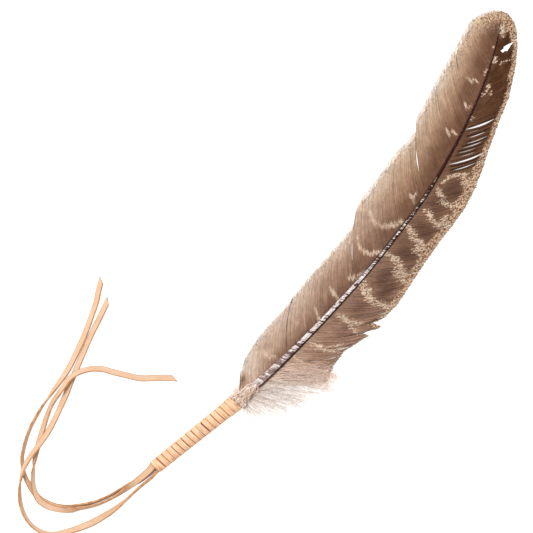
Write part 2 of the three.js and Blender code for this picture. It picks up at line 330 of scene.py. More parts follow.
# The tails, from the winding to the cut end: x, y and z of the middle line, and roll.
TAILS = {
    "lace_tail_inner": [
        (-0.3, 0.4, 3.1, 0), (-2.6, 0.5, 3.1, 0), (-5.8, 1.1, 2.8, 2), (-11.9, 3, 2.07, 12),
        (-17.7, 6, 1.88, 45), (-23.7, 8.7, 1.88, 70), (-28.9, 11.1, 1.89, 74),
        (-33.7, 13.9, 1.86, 72), (-37.9, 17, 1.84, 68), (-41.9, 20.5, 1.8, 58),
        (-46, 24.2, 1.6, 38), (-49.9, 30, 0.96, 10), (-51.7, 36, 0.68, 0),
        (-52, 41.5, 1.06, -14), (-50.4, 47, 1.35, -26), (-48, 52.5, 1.8, -58),
        (-45, 57, 1.83, -67), (-40.5, 61, 1.83, -68), (-36, 63.5, 1.83, -69),
        (-25, 67.5, 1.84, -70), (-12, 69.5, 1.86, -78), (-5.5, 69.7, 1.86, -98),
        (0.5, 70, 1.8, -128), (7, 70.2, 1.52, -147), (13.5, 70.5, 1.35, -158),
        (21, 71.7, 1.5, -158), (29.5, 73.5, 1.6, -158), (37.5, 75.5, 1.5, -158),
        (45.5, 78, 1.27, -158), (53, 80.5, 1.25, -158), (59.5, 83.5, 1.25, -158),
        (66, 86, 1.25, -158),
    ],
    "lace_tail_outer": [
        (-0.3, -2.5, 3.4, -76), (-5, -2.1, 3.1, -78), (-12.5, -0.3, 2.4, -80),
        (-19.5, 1.1, 1.95, -80), (-25, 2.1, 1.85, -72), (-32.5, 4, 1.7, -42),
        (-40, 6.8, 1.4, -26), (-46.5, 9.8, 1.25, -22), (-52.5, 13.5, 1.3, -25),
        (-58, 17.5, 1.4, -30), (-63, 22, 1.6, -40), (-66, 28, 1.8, -55), (-66.3, 35, 1.84, -64),
        (-64.3, 41.5, 1.9, -66), (-60, 47.5, 2.5, -68), (-54.5, 52, 4.3, -76),
        (-48.5, 55.3, 5.6, -112), (-42.8, 57.3, 5.5, -128), (-36, 58.2, 4.9, -142),
        (-28.5, 58.2, 4.9, -152), (-19.5, 58.6, 3.45, -160), (-12.5, 59.8, 1.8, -160),
        (-5, 61.4, 1.2, -160), (2, 63, 1.2, -160), (9, 65, 1.2, -160), (16, 66.7, 1.2, -160),
        (23, 68.5, 1.2, -160), (30.5, 70.3, 1.2, -160), (38, 72, 1.2, -160),
        (46, 73.5, 1.2, -160), (53.5, 75, 1.2, -160), (59.5, 76, 1.2, -160),
    ],
    "lace_tail_crossing": [
        (-0.3, 1.5, 5, 0), (-2.6, 1.5, 4.9, 0), (-5.8, 2, 4.7, 2), (-12.1, 3.5, 3.93, 12),
        (-18.2, 5.2, 3.22, 45), (-24.3, 7.1, 2.52, 70), (-29.7, 9.5, 2.41, 74),
        (-34.7, 12.3, 2.44, 72), (-39.1, 15.6, 2.56, 68), (-42.9, 19.3, 2.8, 58),
        (-47.1, 23.1, 3.2, 36), (-50.9, 29.6, 2.7, 10), (-52.9, 35.5, 2.7, -5),
        (-52.5, 40.7, 3.3, -25), (-50, 45.3, 3.45, -44), (-46.5, 49, 2.7, -60),
        (-42.3, 52, 1.9, -72), (-37.5, 54.8, 1.86, -118), (-32, 57.4, 1.55, -145),
        (-27, 59.5, 1.35, -155), (-20.5, 61.9, 1.46, -150), (-14, 64.2, 1.66, -138),
        (-7.5, 66, 1.85, -132), (-1.5, 66.5, 2.6, -132), (4.8, 66.6, 3.8, -138),
        (10.8, 66.8, 4.1, -145), (16.5, 64.7, 4, -150), (21.5, 61, 2.8, -158),
        (25.5, 55.7, 1.6, -165), (28, 49.5, 1.05, -170), (31, 42.5, 0.88, -173),
        (34, 36, 0.82, -175), (39, 29.5, 0.75, -178), (43.5, 23.5, 0.7, -180),
        (46.5, 19, 0.7, -180),
    ],
}
# How far each cut end slants back, in mm across the width: + cuts the positive edge back.
SLANT = {"lace_tail_inner": -3.6, "lace_tail_outer": -4.4, "lace_tail_crossing": 3.2}
SLANT_REACH = 7.0
# Cut unevenly, the outer lace is broadest in its bend: where along it, over what length, and
# by what share.
BROAD_AT, BROAD_OVER, BROAD_BY = 45, 14, 0.17
# How far above the surface the lowest points of the pieces stay, in mm.
TAIL_CLEAR = 0.03
WOUND_CLEAR = 0.04
BARB_CLEAR = 0.05
HAIR_CLEAR = 0.04


def smooth_line(points, count):
    """Points evenly spaced along a smooth curve through the rows of a route, rolls included."""
    points = np.asarray(points, float)
    ends = [2 * points[:1] - points[1:2], points, 2 * points[-1:] - points[-2:-1]]
    p = np.vstack(ends)
    t = np.linspace(0, len(points) - 1, count * 8)
    i = np.minimum(t.astype(int), len(points) - 2)
    w = (t - i)[:, None]
    p0, p1, p2, p3 = p[i], p[i + 1], p[i + 2], p[i + 3]
    a, b = 0.5 * (p2 - p0), 0.5 * (p3 - p1)
    line = p1 + a * w + (3 * (p2 - p1) - 2 * a - b) * w**2 + (2 * (p1 - p2) + a + b) * w**3
    run = np.r_[0, np.cumsum(np.linalg.norm(np.diff(line[:, :3], axis=0), axis=1))]
    even = np.linspace(0, run[-1], count)
    return np.stack([np.interp(even, run, line[:, k]) for k in range(line.shape[1])], 1), even


def lace_section(width, thickness, corner, flat_points=7):
    """Across and through positions round a flat rounded section, and which are cut walls."""
    w, t = width / 2, thickness / 2
    out = []
    for side in (1, -1):
        flats = np.linspace(-(w - corner), w - corner, flat_points) * side
        out += [(x, t * side, 0.0) for x in flats[:-1]]
        for angle in np.linspace(90, -90, 9):
            c, s = math.cos(math.radians(angle)), math.sin(math.radians(angle))
            across = w - corner + corner * c
            through = (t - corner) * (1 if s > 0.01 else -1 if s < -0.01 else 0) + corner * s
            out.append((across * side, through * side, min(1.0, 1.25 * c)))
    return np.array(out)


def tail(name, seed):
    rng = np.random.default_rng(seed)
    line, run = smooth_line(TAILS[name], LACE_STEPS)
    # The lace goes on for a little under the first turn of the winding.
    lead = line[:1] + (line[:1] - line[3:4]) * np.linspace(1, 0, 5)[:-1, None] * 0.5
    line, run = np.vstack([lead, line]), np.r_[[-1.2, -0.9, -0.6, -0.3], run]
    points, roll = line[:, :3], np.radians(line[:, 3])
    tangent = normalised(np.gradient(points, run, axis=0))
    right = normalised(np.cross(tangent, [0, 0, 1]))
    flat = np.cross(right, tangent)
    through = flat * np.cos(roll)[:, None] - right * np.sin(roll)[:, None]
    across = np.cross(tangent, through)
    section = lace_section(LACE_WIDTH, LACE_THICKNESS, LACE_CORNER)
    phases = rng.uniform(0, 6.28, 4)
    wide = 1 + 0.02 * np.sin(run / 9 + phases[0]) + 0.015 * np.sin(run / 3.7 + phases[1])
    wide += 0.12 * np.exp(-np.maximum(run, 0) / 9)
    if name == "lace_tail_outer":
        wide += BROAD_BY * np.exp(-(((run - BROAD_AT) / BROAD_OVER) ** 2))
    thick = 1 + 0.04 * np.sin(run / 6.1 + phases[2])
    # The last millimetres lean back towards the edge that is cut short.
    share = section[:, 0] / LACE_WIDTH + 0.5
    back = np.abs(SLANT[name]) * (share if SLANT[name] > 0 else 1 - share)
    fade = smoothstep(run[-1] - SLANT_REACH, run[-1], run)
    # The bend next to the winding is the most handled.
    handled = smoothstep(8, 22, run) * (1 - 0.75 * smoothstep(55, 85, run))
    handled *= 0.25 + 0.1 * np.sin(run / 5 + phases[3])
    rings = (
        points[:, None]
        + across[:, None] * section[None, :, :1] * wide[:, None, None]
        + through[:, None] * section[None, :, 1:2] * thick[:, None, None]
        - tangent[:, None] * (fade[:, None] * back[None])[..., None]
    )
    rings[..., 2] = np.maximum(rings[..., 2], TAIL_CLEAR)
    attributes = {
        "lace": (run[:, None], section[:, 0], seed * 7.3), "wall": section[:, 2],
        "painted_shade": 0.0, "bent": 0.0, "painted_shade_side": 0.0, "wear_and_crease_shade": handled[:, None],
    }
    piece = new_piece(name, rings, loft(rings), attributes, LEATHER, name)


for seed, name in enumerate(TAILS, start=1):
    tail(name, seed)

# ---------------------------------------------------------------- the shaft's line
SHAFT = [
    (1.5, -0.4, 3.5, 2.15), (20, -5.1, 3.7, 2.35), (40, -10.2, 3.9, 2.55),
    (56, -14.2, 4.05, 2.7), (78, -19, 4.2, 2.4), (103, -23, 4.2, 2.05),
    (130, -26.2, 4, 1.7), (157, -28.6, 3.7, 1.4), (185, -29.4, 3.4, 1.15),
    (214, -28.7, 3, 0.95), (244, -25, 2.5, 0.75), (268, -20.2, 1.9, 0.6),
    (291, -13.2, 1.3, 0.45), (308.5, -5.7, 0.8, 0.35),
]

# ---------------------------------------------------------------- the winding
WRAP_LENGTH = 56.5
WRAP_TURNS = 15.5
WRAP_STEPS = 44
WRAP_WIDTH = 3.32
WRAP_CORNER = 0.36
WRAP_FLAT_POINTS = 17
WRAP_SEED = 11
WRAP_SLACK = 0.45
WOUND_WIDTH = 3.0
LIP_BROADER = 0.36


def winding():
    rng = np.random.default_rng(WRAP_SEED)
    start, end = np.array(SHAFT[0][:3]), np.array(SHAFT[3][:3])
    along = normalised(end - start)
    side = normalised(np.cross([0, 0, 1], along))
    up = np.cross(along, side)
    start = start + along * (WOUND_WIDTH / 2 - start[0] + 0.4)
    count = int(WRAP_TURNS * WRAP_STEPS)
    t = np.linspace(0, 1, count)
    turn = t * WRAP_TURNS
    knots = np.arange(0, WRAP_TURNS + 2, 1.0)
    wander = np.interp(turn, knots, rng.normal(0, 0.13, len(knots)))
    wander *= np.minimum(1, np.minimum(turn, WRAP_TURNS - turn))
    lift = np.interp(turn, knots + 0.3, rng.uniform(0, 0.16, len(knots)))
    # The first turn is spread over the tails, the last one ends in a broad lip.
    first = 1 - smoothstep(0.55, 1.2, turn)
    lip = smoothstep(WRAP_TURNS - 1.5, WRAP_TURNS - 1.0, turn)
    advance = t * (WRAP_LENGTH - WOUND_WIDTH) + wander - 0.6 * first + 0.45 * lip
    axis = start + along * advance[:, None]
    radius = rows_at(SHAFT, axis[:, 0])[:, 3] + WRAP_SLACK + LACE_THICKNESS / 2
    radius = radius + lift + 0.22 * lip
    angle = 2 * math.pi * turn
    outward = side * np.cos(angle)[:, None] + up * np.sin(angle)[:, None]
    points = axis + outward * radius[:, None]
    tangent = normalised(np.gradient(points, axis=0))
    through = normalised(outward - tangent * (outward * tangent).sum(1, keepdims=True))
    across = np.cross(tangent, through)
    section = lace_section(WRAP_WIDTH, LACE_THICKNESS, WRAP_CORNER, WRAP_FLAT_POINTS)
    share = section[:, 0] / (WRAP_WIDTH / 2)
    wide = 1 + LIP_BROADER * first + LIP_BROADER * lip
    lean = np.interp(turn, knots + 0.6, rng.normal(0, 0.05, len(knots))) + 0.05 * lip
    run = np.r_[0, np.cumsum(np.linalg.norm(np.diff(points, axis=0), axis=1))]
    # Pressed over the quill the lace bulges along its middle and creases lengthways.
    phase = np.interp(turn, knots, rng.uniform(0, 6, len(knots)))
    crease = np.sin(8.5 * share[None] + phase[:, None] + 0.5 * np.sin(run / 4)[:, None])
    every = np.arange(0, run[-1] + 9, 4.5)
    strong = np.interp(run, every, rng.uniform(0.02, 0.11, len(every)))
    # Painted shade: the troughs of these creases are marked for a darker colour.
    wear_and_crease_shade = np.clip(-crease - 0.3, 0, 1) * (strong / 0.08)[:, None]
    crease = crease * strong[:, None]
    bulge = np.where(section[:, 1] > 0, 1, 0) * (0.13 * (1 - share**2)[None] + crease)
    height = section[None, :, 1] + lean[:, None] * section[None, :, 0] + bulge
    rings = (
        points[:, None]
        + across[:, None] * section[None, :, :1] * wide[:, None, None]
        + through[:, None] * height[..., None]
    )
    rings[..., 2] = np.maximum(rings[..., 2], WOUND_CLEAR)
    # Painted shade: the underside of each turn and its walls, down in the grooves, take the groove
    # colour.
    low = np.clip(smoothstep(0.3, -0.5, section[:, 1]) + 0.35 * section[:, 2], 0, 1)
    deep = np.interp(turn, knots + 0.4, rng.uniform(0.5, 1.0, len(knots)))
    # Painted shade: the side turned away from the light, towards the barred vane, is tinted deeper
    # orange.
    painted_shade_side = smoothstep(-0.1, 0.95, -(outward @ side)) * smoothstep(-0.6, 0.2, outward @ up)
    attributes = {
        "lace": (run[:, None], section[:, 0], 31.0), "wall": 0.8 * section[:, 2],
        "painted_shade": deep[:, None] * low, "bent": 1.0, "painted_shade_side": painted_shade_side[:, None],
        "wear_and_crease_shade": wear_and_crease_shade * (section[:, 1] > 0.3),
    }
    new_piece("quill_wrap", rings, loft(rings), attributes, LEATHER, "quill_wrap")


winding()


# ---------------------------------------------------------------- the shaft
SHAFT_RINGS = 900
SHAFT_SIDES = 32
# The length by which x is divided for the materials' place along the feather, "far".
FAR = 320


def shaft():
    """The quill and shaft: horny, with painted shade along its barred-side edge and underside, and
    flecked with silver, part real pale flaking and part painted highlight, on its lit side.
    """
    x = np.linspace(SHAFT[0][0], SHAFT[-1][0], SHAFT_RINGS)
    rows = rows_at(SHAFT, x)
    points, radius = rows[:, :3], rows[:, 3]
    tangent = normalised(np.gradient(points, axis=0))
    right = normalised(np.cross(tangent, [0, 0, 1]))
    up = np.cross(right, tangent)
    radius = radius * np.where(x < 57, 0.94, 1) * (1 - 0.75 * smoothstep(300, 308.5, x) ** 2)
    radius = radius * (1 - 0.12 * smoothstep(80, 100, x) * (1 - smoothstep(150, 200, x)))
    radius = radius * (1 - 0.14 * smoothstep(210, 235, x))
    angle = np.linspace(0, 2 * math.pi, SHAFT_SIDES, endpoint=False)
    # Slightly squared, with a shallow furrow beneath.
    out = 1 + 0.05 * np.cos(4 * (angle - math.pi / 4))
    out -= 0.12 * np.exp(-(((angle - 1.5 * math.pi) / 0.35) ** 2))
    rings = (
        points[:, None]
        - right[:, None] * (np.cos(angle) * out)[None, :, None] * radius[:, None, None]
        + up[:, None] * (np.sin(angle) * out)[None, :, None] * radius[:, None, None]
    )
    # Across: 1 at the edge of the plain side, -1 at the edge of the barred side.
    across = np.where(np.sin(angle) > -0.2, np.cos(angle), -1.0)
    slanted = x[:, None] + 0.55 * np.cos(angle)[None] * radius[:, None]
    around = angle * radius[:, None]
    rings = rings[:, ::-1]
    attributes = {
        "shaft": (slanted[:, ::-1], around[:, ::-1], 0.0),
        "across": across[::-1],
        "far": x[:, None] / FAR,
    }
    new_piece("shaft", rings, loft(rings), attributes, shaft_material())


def shaft_material():
    g = Graph("shaft_horn", 0.45, specular=0.15)
    place = g.attribute("shaft", vector=True)
    across, far = g.attribute("across"), g.attribute("far")
    stria = g.step(g.noise(place, (1.45, 0.16, 1.0), detail=2, roughness=0.5), 0.38, 0.62)
    patch = g.step(g.noise(place, (0.42, 0.6, 1.0), detail=3, roughness=0.6), 0.34, 0.66)
    pith = g.noise(place, (0.7, 0.9, 3.0), detail=3)
    # Under the winding, x below 56, the quill takes a warm brown: painted shade in the gaps between
    # turns.
    horn = g.shades(far, [
        (0.0, 150, 92, 50), (0.176, 150, 92, 50), (0.18, 200, 170, 152),
        (0.22, 170, 140, 128), (0.27, 140, 110, 102), (0.32, 104, 76, 68),
        (0.4, 90, 62, 55),
        (0.6, 74, 46, 36), (0.68, 66, 36, 25), (0.74, 66, 34, 20),
    ])
    horn = g.lay(horn, HORN_DARK, g.step(pith, 0.4, 0.7), 0.5)
    flake_and_highlight = g.mix(g.step(pith, 0.35, 0.6), SILVER_FLAKE_HIGHLIGHT, GREY_FLAKE_HIGHLIGHT)
    # How much of the lit side is silver, part real pale flaking and part painted highlight: nearly
    # all low down, scattered flecks higher up.
    amount = g.plus(g.times(stria, 0.58), g.times(patch, 0.42))
    limit = g.levels(far, [
        (0.176, 1.4), (0.18, 0.3), (0.23, 0.44),
        (0.28, 0.6), (0.32, 0.4), (0.35, 0.26),
        (0.46, 0.26), (0.5, 0.46), (0.6, 0.64),
        (0.67, 0.72), (0.73, 1.2),
    ])
    limit = g.plus(limit, g.times(g.minus(0.4, across), 0.12))
    flecks = g.step(g.minus(amount, limit), -0.1, 0.1)
    flecks = g.times(flecks, g.step(across, -0.62, -0.4))
    rim = g.times(g.step(across, 0.4, 0.75), g.step(far, 0.45, 0.52))
    flecks = g.times(flecks, g.minus(1.0, rim))
    tint = g.mix(flecks, horn, flake_and_highlight)
    # Painted shade: the barred-side edge and the underside, turned from the light, are dark.
    painted_shade_edge = g.shades(far, [(0.2, 112, 78, 64), (0.28, 54, 30, 22), (0.5, 38, 16, 10)])
    tint = g.mix(g.step(across, -0.45, -0.6), tint, painted_shade_edge)
    beyond = g.times(g.step(across, 0.75, 0.98), g.step(far, 0.4, 0.5))
    tint = g.lay(tint, HORN_DARK, beyond, 0.6)
    g.bump(g.plus(g.times(stria, 0.6), patch), 0.00012, 0.4)
    gloss = g.plus(g.times(pith, 0.3), g.times(g.step(far, 0.62, 0.7), 0.4))
    return g.finish(tint, g.plus(gloss, 0.25))


SILVER_FLAKE_HIGHLIGHT = (0.62, 0.57, 0.56, 1)
GREY_FLAKE_HIGHLIGHT = colour(214, 196, 192)
HORN_DARK = colour(72, 46, 38)

# ---------------------------------------------------------------- barbs
# Where the barbs of each side end: x on the shaft where the barb grows, x and y of its end.
# Each list is one unbroken stretch of vane; the stretches part where the vane has split.
PLAIN_SIDE = [
    [(58.5, 61.5, -12.8), (59.5, 66, -9), (60.5, 71, -5.8)],
    [
        (60.6, 68, -8.5), (61.5, 72.3, -6.4), (62.5, 74.5, -4.6), (63.5, 77, -3.8),
        (66, 83, -3), (69, 91.5, -2.5), (75, 99.5, -3), (85, 110, -4.3), (94, 120, -4.5),
        (104, 131.5, -4.7), (115.5, 142.5, -5.5), (126.5, 153, -6.3), (139, 165.5, -7.3),
        (147.5, 173.8, -6.9),
    ],
    [
        (147.6, 181.2, -2.9), (155, 188, -2), (162, 194, -2.2), (173, 204, -2.3),
        (183, 214.5, -1.8), (197, 225.5, -2.8), (209.5, 233.6, -3.6),
    ],
    [
        (209.6, 240.4, 0.6), (215, 243.5, 0.9), (223, 249.5, 1.6), (238, 262.5, 4),
        (253, 275.5, 5.7), (265, 285.5, 6.8), (275, 291, 7.7), (287, 299.5, 9),
        (294, 304.5, 8), (300, 309, 5.5), (305, 313, 2.4), (308.2, 315.4, -1.2), (308.5, 316.2, -5),
    ],
]
BARRED_SIDE = [
    [
        (73, 95, -47.5), (79, 100.5, -46), (84, 104, -45), (94, 113.5, -45), (101, 122, -48),
        (106.5, 129, -50.6), (109, 127.6, -46.6), (111.8, 137, -53.2), (113.2, 136.4, -51.5),
        (115, 135.3, -47.7), (117, 139, -50), (119, 142, -51.5), (130, 153.5, -53),
        (146, 168, -51.8), (160, 182, -51.2), (172, 194.5, -50.6), (182, 205.5, -51),
        (193, 217, -50.5), (205, 229, -48.5), (217, 240, -45.2), (230, 251, -41.5),
        (241, 261, -38.5), (250, 269.5, -36), (259.5, 279.5, -33.3), (270.5, 289, -29),
        (279, 296.5, -25.5), (288.5, 304.5, -20.5), (295, 309, -17), (300, 312.8, -13.5),
        (305, 315, -9.8), (308.2, 316, -6.5), (308.5, 316.2, -3.8),
    ],
]
BARB_SPACING = 0.56
END_SPACING = 0.8
BARB_STEPS = 44
BARB_BOW = 0.058
EDGE_HEIGHT = 0.32
# The lowest that a barb's middle line comes, its lean to one side, and half its thickness.
BARB_LOWEST = 0.16
BARB_LEAN = 0.12
BARB_HALF_HEIGHT = 0.07
# A barb's width over the distance to the next, and how far a split and the hole push barbs.
BARB_OVERLAP = 1.5
SPLIT_REACH = 2.2
HOLE_REACH = 3.6
# Between these, in x on the shaft, the lowest barbs of the barred side are loose and slim.
LOOSE_FROM, LOOSE_TO = 73, 85

# Splits in the vane, as x on the shaft of the barb that they follow, the stretch of the barb
# they cover, 0 at the shaft and 1 at the edge, and how wide they gape in mm.
PLAIN_SPLITS = [(209.55, 0.3, 0.66, 0.4), (147.55, 0.24, 0.7, 0.5)]
BARRED_SPLITS = [
    (250.6, -0.04, 0.78, 0.95), (247.9, 0.0, 0.6, 0.2), (244.6, 0.15, 0.7, 0.3),
    (240.9, 0.13, 0.78, 0.34), (238.5, 0.1, 0.8, 0.42), (235.6, 0.05, 0.66, 0.22),
    (232.9, 0.1, 0.66, 0.2), (229.3, 0.0, 0.9, 0.8), (226.6, 0.1, 0.76, 0.25),
    (224.4, 0.15, 0.8, 0.4),
]
# The torn hole near the tip: its middle line and half widths.
HOLE = [
    (299.4, -15.8, 1.5), (301.4, -16.0, 1.15), (303.8, -16.3, 0.6), (306.0, -16.6, 0.1),
    (309.4, -17.0, 0.0),
]

# Painted shadow lines where barbs lie over each other: x on the shaft, and the stretch of the barb.
PLAIN_LINES = [
    (94.3, 0.1, 1.2), (148.3, 0.7, 1.2), (263.0, 0.7, 0.86), (58.9, 0.2, 1.2),
    (209.9, 0.58, 0.98),
]
BARRED_LINES = [
    (100.6, 0.45, 1.0), (119.3, 0.8, 1.2), (251.9, 0.1, 0.75),
    (249.0, 0.1, 0.7), (246.0, 0.15, 0.7), (242.4, 0.15, 0.75), (239.7, 0.15, 0.75),
    (237.0, 0.1, 0.7), (234.2, 0.1, 0.65), (230.8, 0.05, 0.8), (227.7, 0.1, 0.8),
    (225.4, 0.15, 0.75), (223.4, 0.2, 0.8),
]
# Soft patches: middle, half axes and how much lighter (+) or darker (-) they are.
PLAIN_PATCHES = [
    (76, -12, 13, 9, 0.45), (66, -15, 9, 5, 0.4), (100, -14, 14, 9, 0.24), (122, -16, 12, 8, 0.16),
    (92, -6, 22, 4, -0.06), (146, -10, 14, 6, -0.06), (180, -14, 16, 9, 0.04),
    (230, -22, 12, 4, -0.10), (230, -8, 10, 7, 0.1), (203, -6, 9, 7, 0.08),
    (302, -4, 9, 7, -0.28), (288, -4, 9, 7, -0.06), (264, 2, 9, 6, 0.13),
    (67, -8.8, 2.8, 2.2, -0.7),
    (284, -8, 6, 4, -0.16), (268, -11, 8, 4, -0.18), (251, -19, 8, 4, -0.14), (248, -5, 8, 5, 0.12),
]
# The dark patch at 300, -19, beside the torn hole, is painted shade below it.
BARRED_PATCHES = [
    (246, -33, 15, 8, -0.22), (303, -14, 5, 2, -0.25), (285, -20, 14, 6, -0.10),
    (300, -19, 5, 2.5, -0.2), (112, -46, 10, 5, 0.12),
]

# Cream marks: half width, and the points they pass through.
PLAIN_MARKS = [
    (0.58, [(274.2, -8.1), (274.7, -9.9), (273.8, -12.0), (275.6, -12.0)]),
    (0.44, [(275.8, -13.2), (275.5, -15.5)]),
    (0.69, [(262.2, -15.9), (260.5, -18.2), (263.6, -19.3)]),
    (0.48, [(284.8, -14.6), (281.3, -14.6)]),
    (0.39, [(297.3, -8.9), (296.4, -9.5)]),
    (0.69, [(244.8, -15.9), (243.0, -20.0)]),
    (0.69, [(245.9, -19.2), (245.7, -22.2)]),
    (0.75, [(204.3, -21.6), (202.1, -26.1)]),
    (0.75, [(204.3, -24.4), (206.5, -24.5)]),
    (1, [(185.0, -6.9), (182.0, -11.2), (180.0, -15.9)]),
    (1.38, [(180.0, -15.9), (182.3, -22.4), (185.1, -24.4), (189.0, -27.0)]),
    (1, [(183.4, -3.0), (181.2, -7.4)]),
    (1, [(167.9, -12.6), (163.6, -17.8), (164.3, -23.4), (169.7, -28.3)]),
    (1.12, [(147.6, -22.6), (149.5, -25.7), (155.7, -28.0)]),
    (1, [(136.7, -17.7), (135.3, -20.6), (133.8, -25.4)]),
    (1, [(122.9, -17.8), (121.3, -20.2), (119.8, -22.5)]),
    (1, [(86.6, -10.3), (85.7, -13.2), (87.6, -16.6)]),
    (0.75, [(153.1, -5.8), (151.5, -9.1)]),
    (1, [(201.4, -3.2), (199.9, -8.5)]),
    (0.75, [(123.1, -7.1), (121.9, -10.1)]),
]
BARRED_MARKS = [
    (0.7, [(220.0, -32.3), (225.0, -33.0), (229.0, -37.1), (231.7, -39.6)]),
    (2.2, [(229.2, -41.5), (227.6, -46.1), (223.6, -48.2)]),
    (1.1, [(215.7, -33.7), (211.9, -39.3), (213.1, -45.6), (217.1, -46.1), (221.1, -46.8)]),
    (1.2, [(202.3, -34.8), (200.0, -41.2), (199.5, -44.2), (201.8, -46.0), (206.5, -45.1)]),
    (1.2, [(189.1, -31.5), (186.3, -37.2), (186.1, -41.8), (185.4, -46.8)]),
    (2.0, [(182.8, -43.4), (181.8, -47.5)]),
    (1.2, [(170.8, -32.0), (169.8, -38.9), (168.1, -43.8), (166.5, -47.7)]),
    (2.1, [(166.1, -42.2), (165.9, -48.2)]),
    (1.4, [(149.5, -31.0), (147.4, -35.3), (145.0, -38.0), (144.9, -42.4)]),
    (1.2, [(147.5, -30.0), (145.7, -36.9), (145.4, -41.9), (146.3, -45.2), (147.4, -50.7)]),
    (1.1, [(126.8, -29.8), (128.4, -35.0), (128.6, -39.6), (131.2, -43.0)]),
    (0.9, [(126.6, -38.2), (126.5, -45.1)]),
    (1.2, [(107.0, -26.6), (107.0, -32.9), (109.4, -38.1)]),
    (1.4, [(110.0, -39.0), (114.3, -42.0)]),
    (0.8, [(93.9, -22.9), (95.0, -28.5), (95.2, -32.9)]),
    (1.6, [(308.6, -7.6), (306.6, -9.4)]),
    (0.8, [(289.8, -14.8), (292.2, -14.0)]),
    (0.45, [(291.5, -18.6), (293.1, -18.4)]),
    (0.4, [(294.8, -20.2), (295.5, -20.2)]),
    (0.5, [(278.7, -20.3), (275.5, -21.0)]),
    (0.4, [(272.9, -20.4), (271.4, -20.7)]),
    (0.4, [(275.3, -22.6), (274.3, -24.0)]),
    (0.45, [(258.9, -23.7), (257.0, -24.3)]),
    (0.7, [(215.9, -32.0), (215.4, -33.6)]),
]
# Dark ovals of the barred side: middle, half length along x and along y, and strength.
OVALS = [
    (221.0, -39.5, 6.6, 5.0, 1.0), (207.8, -37.6, 5.8, 5.0, 0.9), (192.7, -40.0, 4.8, 6.2, 1.0),
    (177.1, -39.4, 6.0, 7.0, 1.0), (158.0, -38.4, 7.0, 4.4, 0.9), (153.8, -43.2, 7.4, 4.2, 1.0),
    (138.1, -37.1, 6.8, 5.4, 0.5), (121.7, -39.1, 7.7, 4.6, 0.35), (101.6, -37.1, 6.6, 4.6, 0.1),
]


def barb_roots(stretches):
    """For each barb: x on the shaft, x and y of its end, and the stretch that it is in."""
    rows = []
    for k, stretch in enumerate(stretches):
        for a, b in zip(stretch[:-1], stretch[1:]):
            ends = math.hypot(b[1] - a[1], b[2] - a[2])
            count = max(1, round(max((b[0] - a[0]) / BARB_SPACING, ends / END_SPACING)))
            share = np.linspace(0, 1, count, endpoint=False)[:, None]
            rows.append(np.c_[np.array(a) * (1 - share) + np.array(b) * share, np.full(count, k)])
        rows.append([[*stretch[-1], k]])
    return np.vstack(rows)


def barb_curves(roots, side, steps):
    """Middle lines (barbs, steps + 1, 3) from the shaft to the ends, bowed away from the tip."""
    base = rows_at(SHAFT, roots[:, 0])
    start = base[:, :3].copy()
    start[:, 1] += side * base[:, 3] * 0.8
    end = np.stack([roots[:, 1], roots[:, 2], np.full(len(roots), EDGE_HEIGHT)], 1)
    f = np.linspace(0, 1, steps + 1)[None, :, None]
    chord = (end - start)[:, None]
    away = np.stack([-chord[..., 1] * side, chord[..., 0] * side, 0 * chord[..., 0]], -1)
    bow = BARB_BOW * np.minimum(1, np.linalg.norm(chord, axis=-1, keepdims=True) / 25)
    curves = start[:, None] + chord * f + away * bow * 4 * f * (1 - f)
    fall = 1 - f[..., 0] ** 1.5
    curves[..., 2] = EDGE_HEIGHT + (start[:, None, 2] - EDGE_HEIGHT) * fall
    return curves


def gape(curves, line, half, reach):
    """Parts the barbs on either side of a line of points, by half a width at each point."""
    line = np.asarray(line, float)
    steps = np.diff(line, axis=0)
    flat = curves[..., :2]
    best = np.full(flat.shape[:2], 1e9)
    push = np.zeros(flat.shape)
    amount = np.zeros(flat.shape[:2])
    sign = np.zeros(flat.shape[:2])
    for k, step in enumerate(steps):
        length = np.hypot(*step)
        along = ((flat - line[k]) @ step) / length**2
        held = np.clip(along, 0, 1)
        gap = flat - (line[k] + held[..., None] * step)
        distance = np.hypot(gap[..., 0], gap[..., 1])
        normal = np.array([-step[1], step[0]]) / length
        closer = distance < best
        best = np.where(closer, distance, best)
        sign = np.where(closer, np.sign(gap @ normal + 1e-9), sign)
        push = np.where(closer[..., None], normal, push)
        amount = np.where(closer, half[k] + (half[k + 1] - half[k]) * held, amount)
        outside = (along < -0.02) & (k == 0) | (along > 1.02) & (k == len(steps) - 1)
        amount = np.where(closer & outside, amount * np.exp(-distance / 0.8), amount)
    middle = len(line) // 2
    toward = np.hypot(*(flat - line[middle]).transpose(2, 0, 1)).argmin(axis=1)
    own = np.take_along_axis(sign, toward[:, None], 1)
    near = np.clip(1 - best / reach, 0, 1)
    shift = amount * near + np.where(own * sign < 0, 2 * best * (near > 0) * (amount > 0.05), 0)
    curves[..., :2] += push * (own * shift)[..., None]


def strips(curves, half_width, half_height, lean=0.0):
    """Thin bars with a lens section along each curve: left, top, right and bottom points."""
    tangent = normalised(np.gradient(curves, axis=1))
    across = normalised(np.cross(tangent, [0, 0, 1]))
    up = np.cross(across, tangent)
    w, h = half_width[..., None], half_height[..., None]
    left = curves - across * w + up * (lean * half_width)[..., None]
    right = curves + across * w - up * (lean * half_width)[..., None]
    return np.stack([left, curves + up * h, right, curves - up * h], axis=2)


def strip_faces(barbs, steps):
    ids = np.arange(barbs * (steps + 1) * 4).reshape(barbs, steps + 1, 4)
    after = np.roll(ids, -1, axis=2)
    sides = np.stack([ids[:, :-1], ids[:, 1:], after[:, 1:], after[:, :-1]], -1).reshape(-1, 4)
    starts, ends = ids[:, 0], ids[:, -1, ::-1]
    return np.vstack([sides, starts, ends])


